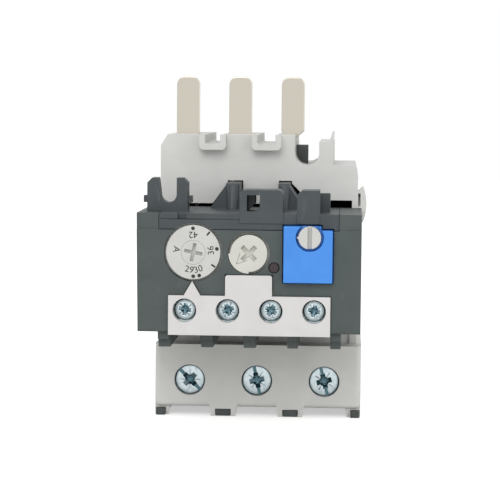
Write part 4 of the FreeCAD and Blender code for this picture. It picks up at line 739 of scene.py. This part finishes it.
def letters(
    text: str, height: float, film: float, stretch: float = 0.01, resolution: int = 4,
) -> bpy.types.Mesh:
    """Makes flat raised lettering that stands upright in the XZ plane, round its own middle.

    Args:
        text: What to write.
        height: The height of the letters in millimetres.
        film: Their thickness in millimetres.
        stretch: How far they are drawn out to each side before they get that thickness.
        resolution: How finely their curves are divided.

    Returns:
        The lettering's mesh.
    """
    curve = bpy.data.curves.new("lettering", "FONT")
    curve.body = text
    curve.resolution_u = resolution
    curve.extrude = stretch
    writing = new_object("lettering", curve)
    bpy.context.view_layer.update()
    graph = bpy.context.evaluated_depsgraph_get()
    mesh = bpy.data.meshes.new_from_object(writing.evaluated_get(graph), depsgraph=graph)
    bpy.data.objects.remove(writing)
    bpy.data.curves.remove(curve)
    across = [corner.co.x for corner in mesh.vertices]
    upward = [corner.co.y for corner in mesh.vertices]
    middle = Vector(((min(across) + max(across)) / 2, (min(upward) + max(upward)) / 2, 0.0))
    grow = height * MM / (max(upward) - min(upward))
    mesh.transform(Matrix.Translation(-middle))
    mesh.transform(Matrix.Diagonal((grow, grow, film * MM / (2 * stretch), 1.0)))
    mesh.transform(Matrix.Rotation(math.radians(90.0), 4, "X"))
    return mesh


# ---------------------------------------------------------------- studio


@dataclass
class Studio:
    """A pale floor, a white surround and soft lamps. Lengths are in metres, powers in watts."""

    white: str = "#FFFFFF"
    surround_level: float = 0.75
    floor_size: float = 3.0
    floor_gap_mm: float = 0.05
    floor_paper: str = "#F2F2F0"
    floor_lift: float = 0.5
    aim: Corner = (0.0, 0.0, 0.045)
    key_place: Corner = (-0.12, -0.9, 0.7)
    key_size: float = 0.6
    key_power: float = 4.3
    fill_place: Corner = (0.75, -0.75, 0.4)
    fill_size: float = 0.8
    fill_power: float = 1.7

    def build(self) -> None:
        """Makes the floor, the surround and the lamps."""
        self.surround()
        self.floor()
        self.lamp("key_lamp", self.key_place, self.key_size, self.key_power)
        self.lamp("fill_lamp", self.fill_place, self.fill_size, self.fill_power)
        LOG.info("studio built")

    def surround(self) -> None:
        """Makes a world that is white to the eye and in reflections, and lights softly."""
        world = bpy.data.worlds.new("white_surround")
        world.use_nodes = True
        tree = world.node_tree
        tree.nodes.clear()
        path = add_node(tree, "ShaderNodeLightPath")
        mirrored = add_node(tree, "ShaderNodeMath", {"operation": "MAXIMUM"}, {
            0: path.outputs["Is Glossy Ray"], 1: path.outputs["Is Transmission Ray"]})
        seen = add_node(tree, "ShaderNodeMath", {"operation": "MAXIMUM"}, {
            0: path.outputs["Is Camera Ray"], 1: mirrored.outputs[0]})
        level = remap(tree, seen.outputs[0], (0.0, 1.0), (self.surround_level, 1.0))
        light = add_node(tree, "ShaderNodeBackground", inputs={
            "Color": linear(self.white), "Strength": level})
        add_node(tree, "ShaderNodeOutputWorld", inputs={"Surface": light.outputs[0]})
        bpy.context.scene.world = world

    def floor(self) -> None:
        """Makes the floor, white to the eye outside the relay's shadow."""
        mesh = bpy.data.meshes.new("floor")
        half = self.floor_size / 2
        mesh.from_pydata(
            [(-half, -half, 0.0), (half, -half, 0.0), (half, half, 0.0), (-half, half, 0.0)],
            [], [(0, 1, 2, 3)])
        floor = new_object("floor", mesh)
        floor.location.z = -self.floor_gap_mm * MM
        material, tree = new_material("floor_paper")
        path = add_node(tree, "ShaderNodeLightPath")
        lift = add_node(tree, "ShaderNodeMath", {"operation": "MULTIPLY"}, {
            0: path.outputs["Is Camera Ray"], 1: self.floor_lift})
        paper = add_node(tree, "ShaderNodeBsdfDiffuse", inputs={
            "Color": linear(self.floor_paper)})
        glow = add_node(tree, "ShaderNodeEmission", inputs={
            "Color": linear(self.white), "Strength": lift.outputs[0]})
        both = add_node(tree, "ShaderNodeAddShader", inputs={
            0: paper.outputs[0], 1: glow.outputs[0]})
        add_node(tree, "ShaderNodeOutputMaterial", inputs={"Surface": both.outputs[0]})
        floor.data.materials.append(material)
        floor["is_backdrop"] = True

    def lamp(self, name: str, place: Corner, size: float, power: float) -> None:
        """Hangs one soft lamp that points at the relay.

        Args:
            name: The lamp's name.
            place: Where it hangs.
            size: The side of its square.
            power: Its power in watts.
        """
        light = bpy.data.lights.new(name, "AREA")
        light.shape = "SQUARE"
        light.size = size
        light.energy = power
        lamp = new_object(name, light)
        lamp.location = place
        towards = Vector(self.aim) - Vector(place)
        lamp.rotation_euler = towards.to_track_quat("-Z", "Y").to_euler()


@dataclass
class Camera:
    """The camera in front of the relay, a little to the right and above. Lengths are in metres."""

    azimuth: float = 3.0
    elevation: float = 4.5
    roll: float = 0.5
    distance: float = 0.465
    lens_mm: float = 135.6
    sensor_mm: float = 36.0
    clip_start: float = 0.01
    target: Corner = (-0.00035, -0.036, 0.04587)

    def build(self) -> None:
        """Makes the scene's camera."""
        turn, rise = math.radians(self.azimuth), math.radians(self.elevation)
        back = Vector((
            math.sin(turn) * math.cos(rise), -math.cos(turn) * math.cos(rise), math.sin(rise)))
        right = (-back).cross(Vector((0.0, 0.0, 1.0))).normalized()
        up = right.cross(-back)
        lean = math.radians(self.roll)
        across = right * math.cos(lean) + up * math.sin(lean)
        upward = up * math.cos(lean) - right * math.sin(lean)
        data = bpy.data.cameras.new("camera")
        data.lens = self.lens_mm
        data.sensor_width = self.sensor_mm
        data.clip_start = self.clip_start
        camera = new_object("camera", data)
        turned = Matrix((across, upward, back)).transposed().to_4x4()
        turned.translation = Vector(self.target) + back * self.distance
        camera.matrix_world = turned
        bpy.context.scene.camera = camera
        LOG.info("camera placed")


# ---------------------------------------------------------------- sub-assemblies


def numbered(name: str, count: int) -> list[str]:
    """Lists numbered nodes.

    Args:
        name: The name that they share.
        count: How many they are.

    Returns:
        The names from name_1 on.
    """
    return [f"{name}_{number}" for number in range(1, count + 1)]


@dataclass
class Housing:
    """Housing, covers, bracket, fascia and the latch tongue. Lengths are in millimetres."""

    edge_mm: float = 0.18
    notch_across: float = 12.73
    notch_width: float = 6.4
    notch_floor: float = 65.8
    notch_front: float = 13.8
    notch_steps: int = 24
    notch_overshoot: float = 1.0
    latch_low: Corner = (-1.25, -31.0, 55.2)
    latch_high: Corner = (0.7, -27.0, 59.6)
    latch_slope: float = 0.45
    latch_chamfer: float = 0.6
    latch_edge_mm: float = 0.15
    body: str = "housing"
    slots: ClassVar[dict[str, str]] = {
        "base_housing": "light_housing", "back_cover": "inner_moulding",
        "mounting_bracket": "dark_housing"}

    def build(self) -> None:
        """Dresses the mouldings."""
        self.open_notch("base_housing", Finish.LIGHT_POLYCARBONATE)
        self.open_notch("back_cover", Finish.THERMOSET)
        dress("terminal_carrier", Finish.THERMOSET, edge_mm=0.12)
        dress("pin_insulator", Finish.THERMOSET, edge_mm=0.1)
        dress("front_cover", Finish.DARK_POLYAMIDE, edge_mm=self.edge_mm)
        dress("mounting_bracket", Finish.BRACKET_POLYAMIDE, edge_mm=self.edge_mm)
        dress("terminal_fascia", Finish.PALE_POLYCARBONATE)
        dress("contact_carrier", Finish.THERMOSET, edge_mm=0.1)
        dress("back_cover_screws", Finish.BLUE_ZINC, edge_mm=0.08)
        self.add_latch()

    def open_notch(self, node: str, finish: Finish) -> None:
        """Carries the round notch beside the last blade through to the back.

        Args:
            node: The moulding that the notch goes through.
            finish: Its finish.
        """
        piece = copy_solid(node)
        radius = self.notch_width / 2
        middle = self.notch_floor + radius
        far_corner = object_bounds()[1] / MM
        top, back = far_corner.z, far_corner.y + self.notch_overshoot
        cutter = bmesh.new()
        corners = [(self.notch_across - radius, top), (self.notch_across + radius, top)]
        for step in range(self.notch_steps + 1):
            angle = -math.pi * step / self.notch_steps
            corners.append((
                self.notch_across + radius * math.cos(angle), middle + radius * math.sin(angle)))
        add_block(cutter, [(x, self.notch_front, z) for x, z in corners],
                  [(x, back, z) for x, z in corners])
        carve(piece, cutter)
        install(piece, self.body, self.slots[node], finish)
        mould_edges(piece, self.edge_mm)

    def add_latch(self) -> None:
        """Adds the latch tongue that shows behind the bracket's window."""
        low, high = self.latch_low, self.latch_high
        slope = (high[2] - low[2]) * self.latch_slope
        shape = bmesh.new()
        corners = ((low[0], low[2]), (high[0], low[2] + slope),
                   (high[0], high[2] - self.latch_chamfer),
                   (high[0] - self.latch_chamfer, high[2]), (low[0], high[2]))
        add_block(shape, [(x, low[1], z) for x, z in corners],
                  [(x, high[1], z) for x, z in corners])
        latch = to_object("latch_tongue", shape)
        smooth(latch, self.latch_edge_mm)
        install(latch, self.body, self.slots["mounting_bracket"], Finish.BRACKET_POLYAMIDE)


@dataclass(frozen=True)
class Label:
    """One mark of a dial's print: its text, angle, distance from the middle and height."""

    text: str
    angle: float
    radius: float
    height: float = 1.6


@dataclass
class SettingDial:
    """The current setting dial with its print. Lengths are in millimetres, angles in degrees."""

    across: float = -14.44
    height: float = 45.1
    face: float = -35.8
    film: float = 0.03
    ring: float = 3.0
    ring_line: float = 0.09
    ring_film: float = 0.024
    dot: float = 0.92
    dot_radius: float = 5.95
    dot_steps: int = 24
    tick: Pair = (1.15, 0.42)
    tick_radius: float = 6.0
    tick_turn: float = 90.0
    body: str = "dial"
    slot: str = "white_plastic"
    labels: ClassVar[tuple[Label, ...]] = (
        Label("42", 90.0, 4.3), Label("36", 7.0, 4.35), Label("29", -102.5, 4.3),
        Label("30", -72.5, 4.3), Label("A", 170.5, 4.15))
    dots: ClassVar[tuple[float, ...]] = (90.7, 8.9, -75.0, -89.5)
    ticks: ClassVar[tuple[float, ...]] = (51.4, -33.2)

    def build(self) -> None:
        """Dresses the dial and prints it."""
        dress("setting_dial", Finish.WHITE_ACETAL, edge_mm=0.12, fine=False)
        self.print_labels()
        self.print_marks()
        self.scribe_ring()

    def at(self, angle: float, radius: float) -> Matrix:
        """Gives the place of a mark whose foot faces the rim.

        Args:
            angle: Where it is, in degrees anticlockwise from the right.
            radius: How far it is from the dial's middle, in millimetres.

        Returns:
            The matrix that takes an upright mark there.
        """
        turn = math.radians(angle)
        middle = to_metres(self.across + radius * math.cos(turn), self.face - self.film / 2,
                           self.height + radius * math.sin(turn))
        return Matrix.Translation(middle) @ Matrix.Rotation(-turn - math.pi / 2, 4, "Y")

    def print_labels(self) -> None:
        """Prints the numbers and the unit."""
        for number, label in enumerate(self.labels, 1):
            mesh = letters(label.text, label.height, self.film)
            mesh.transform(self.at(label.angle, label.radius))
            install(new_object(f"dial_number_{number}", mesh), self.body, self.slot,
                    Finish.BLACK_INK)

    def print_marks(self) -> None:
        """Prints the dots and the ticks along the rim."""
        shape = bmesh.new()
        for angle in self.dots:
            self.add_mark(shape, angle, self.dot_radius, self.draw_dot)
        for angle in self.ticks:
            self.add_mark(shape, angle, self.tick_radius, self.draw_tick)
        install(to_object("dial_marks", shape), self.body, self.slot, Finish.BLACK_INK)

    def draw_dot(self, mark: Shape) -> None:
        """Draws one dot round the origin.

        Args:
            mark: The mesh that gets it.
        """
        radius, half = self.dot / 2, self.film / 2
        add_turned(mark, ((0.0, -half), (radius, -half), (radius, half), (0.0, half)),
                   self.dot_steps)

    def draw_tick(self, mark: Shape) -> None:
        """Draws one tick round the origin.

        Args:
            mark: The mesh that gets it.
        """
        add_bar(mark, self.tick, self.tick, -self.film / 2, self.film / 2, self.tick_turn)

    def add_mark(
        self, shape: Shape, angle: float, radius: float, draw: Callable[[Shape], None],
    ) -> None:
        """Draws one mark and moves it to its angle.

        Args:
            shape: The mesh that gets the mark.
            angle: Where it goes, in degrees.
            radius: How far from the middle, in millimetres.
            draw: What draws it round the origin.
        """
        mark = bmesh.new()
        draw(mark)
        mark.transform(self.at(angle, radius))
        join(shape, mark)

    def scribe_ring(self) -> None:
        """Lays the fine ring that the moulding tool's insert leaves round the recess, drawn as a
        darker line of painted shade.
        """
        shape = bmesh.new()
        inner, outer = self.ring - self.ring_line / 2, self.ring + self.ring_line / 2
        half = self.ring_film / 2
        add_band(shape, ((inner, -half), (outer, -half), (outer, half), (inner, half)))
        shape.transform(Matrix.Translation(to_metres(self.across, self.face, self.height)))
        # The ring's darker acetal is painted shade standing in for the groove.
        install(to_object("dial_ring", shape), self.body, self.slot, Finish.SHADED_ACETAL)


@dataclass
class SelectorDisc:
    """The selector disc with its raised arrow outline. Lengths are in millimetres."""

    across: float = -0.65
    height: float = 45.0
    face: float = -36.2
    line: float = 0.16
    line_draft: float = 0.05
    line_raised: float = 0.04
    line_sunk: float = 0.02
    body: str = "selector"
    slot: str = "white_plastic"
    corners: ClassVar[tuple[Pair, ...]] = (
        (-2.17, 0.05), (-3.04, -2.6), (-0.44, -1.75))

    def build(self) -> None:
        """Dresses the disc and lays its arrow."""
        dress("selector_disc", Finish.GREY_ACETAL, edge_mm=0.12, fine=False)
        shape = bmesh.new()
        for start, end in zip(self.corners, self.corners[1:]):
            run = Vector(end) - Vector(start)
            stroke = bmesh.new()
            foot = (run.length + self.line, self.line)
            face = (foot[0] - self.line_draft, foot[1] - self.line_draft)
            add_bar(stroke, face, foot, -self.line_raised, self.line_sunk,
                    math.degrees(math.atan2(run.y, run.x)))
            middle = (Vector(start) + Vector(end)) / 2
            stroke.transform(Matrix.Translation(to_metres(
                self.across + middle.x, self.face, self.height + middle.y)))
            join(shape, stroke)
        # The arrow is drawn in darker acetal: painted shade along its raised outline.
        install(to_object("disc_arrow", shape), self.body, self.slot, Finish.SHADED_ACETAL)


@dataclass
class ResetControls:
    """Reset button, its mode knob, the tester and the setting cam."""

    def build(self) -> None:
        """Dresses the button, the knob, the tester and the cam."""
        dress("reset_button", Finish.BLUE_POLYCARBONATE, edge_mm=0.2, fine=False)
        dress("reset_mode_knob", Finish.WHITE_ACETAL, edge_mm=0.12, fine=False)
        # The tester's very dark red is painted shade for its depth in the hole.
        dress("test_pin", Finish.RED_POLYAMIDE, edge_mm=0.12)
        dress("setting_cam", Finish.NATURAL_POLYAMIDE, edge_mm=0.08)


@dataclass
class TerminalScrew:
    """A terminal screw with a cross recess, a slot where it has one, and a rolled thread.

    Lengths are in millimetres; tapers and shares are fractions. A taper is what is left of a
    cutter's length and width at its far end.
    """

    name: str
    body: str
    middle: Vector
    turn: float
    head: float = 7.85
    head_thick: float = 2.4
    dome: float = 0.2
    flat_share: float = 0.5
    flat_fall: float = 0.02
    half_fall: float = 0.75
    rim: float = 0.25
    back_chamfer: float = 0.15
    edge_mm: float = 0.06
    sharp_degrees: float = 30.0
    slot: float = 0.95
    slot_depth: float = 0.6
    slot_taper: float = 0.85
    overrun: float = 1.0
    cross: float = 4.4
    cross_width: float = 1.35
    cross_depth: float = 1.5
    cross_taper: Pair = (0.5, 0.7)
    cone_shares: Pair = (0.3, 0.2)
    cone_point: float = 0.4
    cone_steps: int = 24
    cutter_start: float = -0.3
    nick: Pair = (1.5, 0.2)
    nick_taper: Pair = (0.8, 0.5)
    nick_depth: float = 0.14
    nick_dome_share: float = 0.4
    nick_shares: Pair = (0.33, 0.35)
    recess_skin: float = 0.1
    shank: float = 4.0
    length: float = 10.9
    pitch: float = 0.7
    thread_share: float = 0.55
    thread_start: float = 0.05
    steps: int = 64

    def build(self) -> None:
        """Builds the screw in place of its plain solid."""
        shape = bmesh.new()
        radius = self.head / 2
        add_turned(shape, (
            (0.0, 0.0), (radius * self.flat_share, self.flat_fall),
            (radius - self.half_fall, self.dome / 2), (radius - self.rim, self.dome),
            (radius, self.dome + self.rim), (radius, self.head_thick - self.back_chamfer),
            (radius - self.back_chamfer, self.head_thick), (0.0, self.head_thick)), self.steps)
        piece = to_object(self.name + "_screw", shape)
        carve(piece, self.recess())
        if self.slot:
            slot = bmesh.new()
            run = self.head + 2 * self.overrun
            add_bar(slot, (run, self.slot), (run, self.slot * self.slot_taper),
                    -self.overrun, self.slot_depth, self.turn + 90.0)
            carve(piece, slot)
        self.add_shank(piece)
        piece.data.transform(Matrix.Translation(self.middle))
        # The second finish is painted shade on the faces inside the cross and the slot.
        install(piece, self.body, "zinc_steel", Finish.BLUE_ZINC, Finish.RECESS_ZINC)
        self.paint_recess_shade(piece)
        smooth(piece, self.edge_mm, self.sharp_degrees)
        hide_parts(self.name)

    def recess(self) -> Shape:
        """Makes the cutter of the cross: two tapered bars, a cone and four small nicks.

        Returns:
            The cutter, with its mouth in front of the head's face.
        """
        shape = bmesh.new()
        start, depth = self.cutter_start, self.cross_depth
        foot = (self.cross * self.cross_taper[0], self.cross_width * self.cross_taper[1])
        for quarter in (0.0, 90.0):
            add_bar(shape, (self.cross, self.cross_width), foot, start, depth,
                    self.turn + quarter)
        mouth, waist = self.cross * self.cone_shares[0], self.cross * self.cone_shares[1]
        add_turned(shape, ((0.0, start), (mouth, start), (waist, depth),
                           (0.0, depth + self.cone_point)), self.cone_steps)
        length, width = self.nick
        for diagonal in (45.0, 135.0, 225.0, 315.0):
            add_bar(shape, self.nick,
                    (length * self.nick_taper[0], width * self.nick_taper[1]), start,
                    self.dome * self.nick_dome_share + self.nick_depth, self.turn + diagonal,
                    self.cross * self.nick_shares[0] + length * self.nick_shares[1])
        return shape

    def add_shank(self, piece: bpy.types.Object) -> None:
        """Adds the threaded shank behind the head.

        Args:
            piece: The screw's head.
        """
        shape = bmesh.new()
        shape.from_mesh(piece.data)
        crest = self.shank / 2
        add_thread(shape, crest, crest - self.pitch * self.thread_share, self.pitch,
                   self.head_thick - self.thread_start, self.length)
        bmesh.ops.recalc_face_normals(shape, faces=shape.faces)
        shape.to_mesh(piece.data)
        shape.free()

    def paint_recess_shade(self, piece: bpy.types.Object) -> None:
        """Gives the recess's faces the darker zinc, which is painted shade inside the recess.

        Args:
            piece: The screw.
        """
        near, far = self.dome + self.recess_skin, self.head_thick - 2 * self.back_chamfer
        for face in piece.data.polygons:
            depth = (face.center.y - self.middle.y) / MM
            radius = math.hypot(face.center.x - self.middle.x, face.center.z - self.middle.z) / MM
            inside = near < depth < far and radius < self.head / 2 - self.recess_skin
            face.material_index = 1 if inside else 0


def screw_place(node: str) -> Vector:
    """Finds the middle of a screw's face from its solid.

    Args:
        node: The screw's node.

    Returns:
        The middle in metres.
    """
    low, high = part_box(node)
    return Vector(((low.x + high.x) / 2, low.y, (low.z + high.z) / 2))


@dataclass
class PowerPath:
    """Blades, strips, windings, load bars and main terminals. Lengths are in millimetres."""

    neck_high: float = 74.0
    shoulder_high: float = 75.0
    sink: float = 1.8
    blade_edge_mm: float = 0.25
    body: str = "housing"
    screw_turns: ClassVar[tuple[float, ...]] = (45.0, 12.0, 14.0)

    def build(self) -> None:
        """Dresses the metal of the main circuit."""
        for node in numbered("connection_pin", 2):
            self.square_blade(node)
        dress("connection_pin_3", Finish.TINNED_COPPER, edge_mm=self.blade_edge_mm)
        for node in numbered("load_bar", 3):
            dress(node, Finish.TINNED_COPPER, edge_mm=0.1)
        for node in numbered("bimetal_strip", 3):
            dress(node, Finish.BIMETAL, edge_mm=0.05)
        for node in numbered("heater_winding", 3):
            dress(node, Finish.HEATER_RIBBON, edge_mm=0.05)
        for node in numbered("clamp_cage", 3):
            dress(node, Finish.BLUE_ZINC, edge_mm=0.12)
        for node, turn in zip(numbered("main_screw", 3), self.screw_turns):
            TerminalScrew(node, "screw_" + node[-1], screw_place(node), turn).build()

    def square_blade(self, node: str) -> None:
        """Carries a blade's straight sides down into the housing, in place of its solid.

        Args:
            node: The blade's node.
        """
        piece = copy_solid(node)
        for corner in piece.data.vertices:
            if self.neck_high < corner.co.z / MM < self.shoulder_high:
                corner.co.z -= self.sink * MM
        install(piece, self.body, "tinned_copper", Finish.TINNED_COPPER)
        mould_edges(piece, self.blade_edge_mm)


@dataclass
class ControlPath:
    """Auxiliary terminals and the contacts behind them."""

    screw_turns: ClassVar[tuple[float, ...]] = (-8.0, 20.0, -30.0, -12.0)

    def build(self) -> None:
        """Dresses the metal of the control circuit."""
        for node in numbered("aux_terminal", 4):
            dress(node, Finish.CONTACT_BRASS, edge_mm=0.08)
        for node in numbered("aux_clamp", 4):
            dress(node, Finish.BLUE_ZINC, edge_mm=0.08)
        for node, turn in zip(numbered("aux_screw", 4), self.screw_turns):
            TerminalScrew(
                node, "aux_turner_" + node[-1], screw_place(node), turn, head=5.5, dome=0.25,
                slot=0.0, cross=3.5, cross_width=1.0, cross_depth=1.3, shank=3.4, length=10.4,
                pitch=0.6, nick=(1.1, 0.16)).build()
        for node in ("nc_bridge", "no_bridge"):
            dress(node, Finish.CONTACT_BRASS, edge_mm=0.05)


@dataclass
class TripMechanism:
    """Sliders, levers, pivots and the rocker."""

    def build(self) -> None:
        """Dresses the mechanism."""
        for node in ("trip_slider", "differential_slider", "differential_lever", "trip_rocker"):
            dress(node, Finish.NATURAL_POLYAMIDE, edge_mm=0.1)
        dress("compensation_lever", Finish.BIMETAL, edge_mm=0.08)
        dress("setting_lever", Finish.BRIGHT_STEEL, edge_mm=0.08)
        for node in ("compensation_pivot", "setting_pivot", "rocker_pivot", "reset_spring"):
            dress(node, Finish.BRIGHT_STEEL)


def main() -> None:
    """Builds the studio, the camera and the sub-assemblies."""
    logging.basicConfig(level=logging.INFO, format="%(message)s")
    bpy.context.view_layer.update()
    bpy.context.scene.view_settings.view_transform = "Standard"
    for part in (Studio(), Camera(), Housing(), SettingDial(), SelectorDisc(), ResetControls(),
                 PowerPath(), ControlPath(), TripMechanism()):
        part.build()
    bpy.context.view_layer.update()


if __name__ == "__main__":
    main()
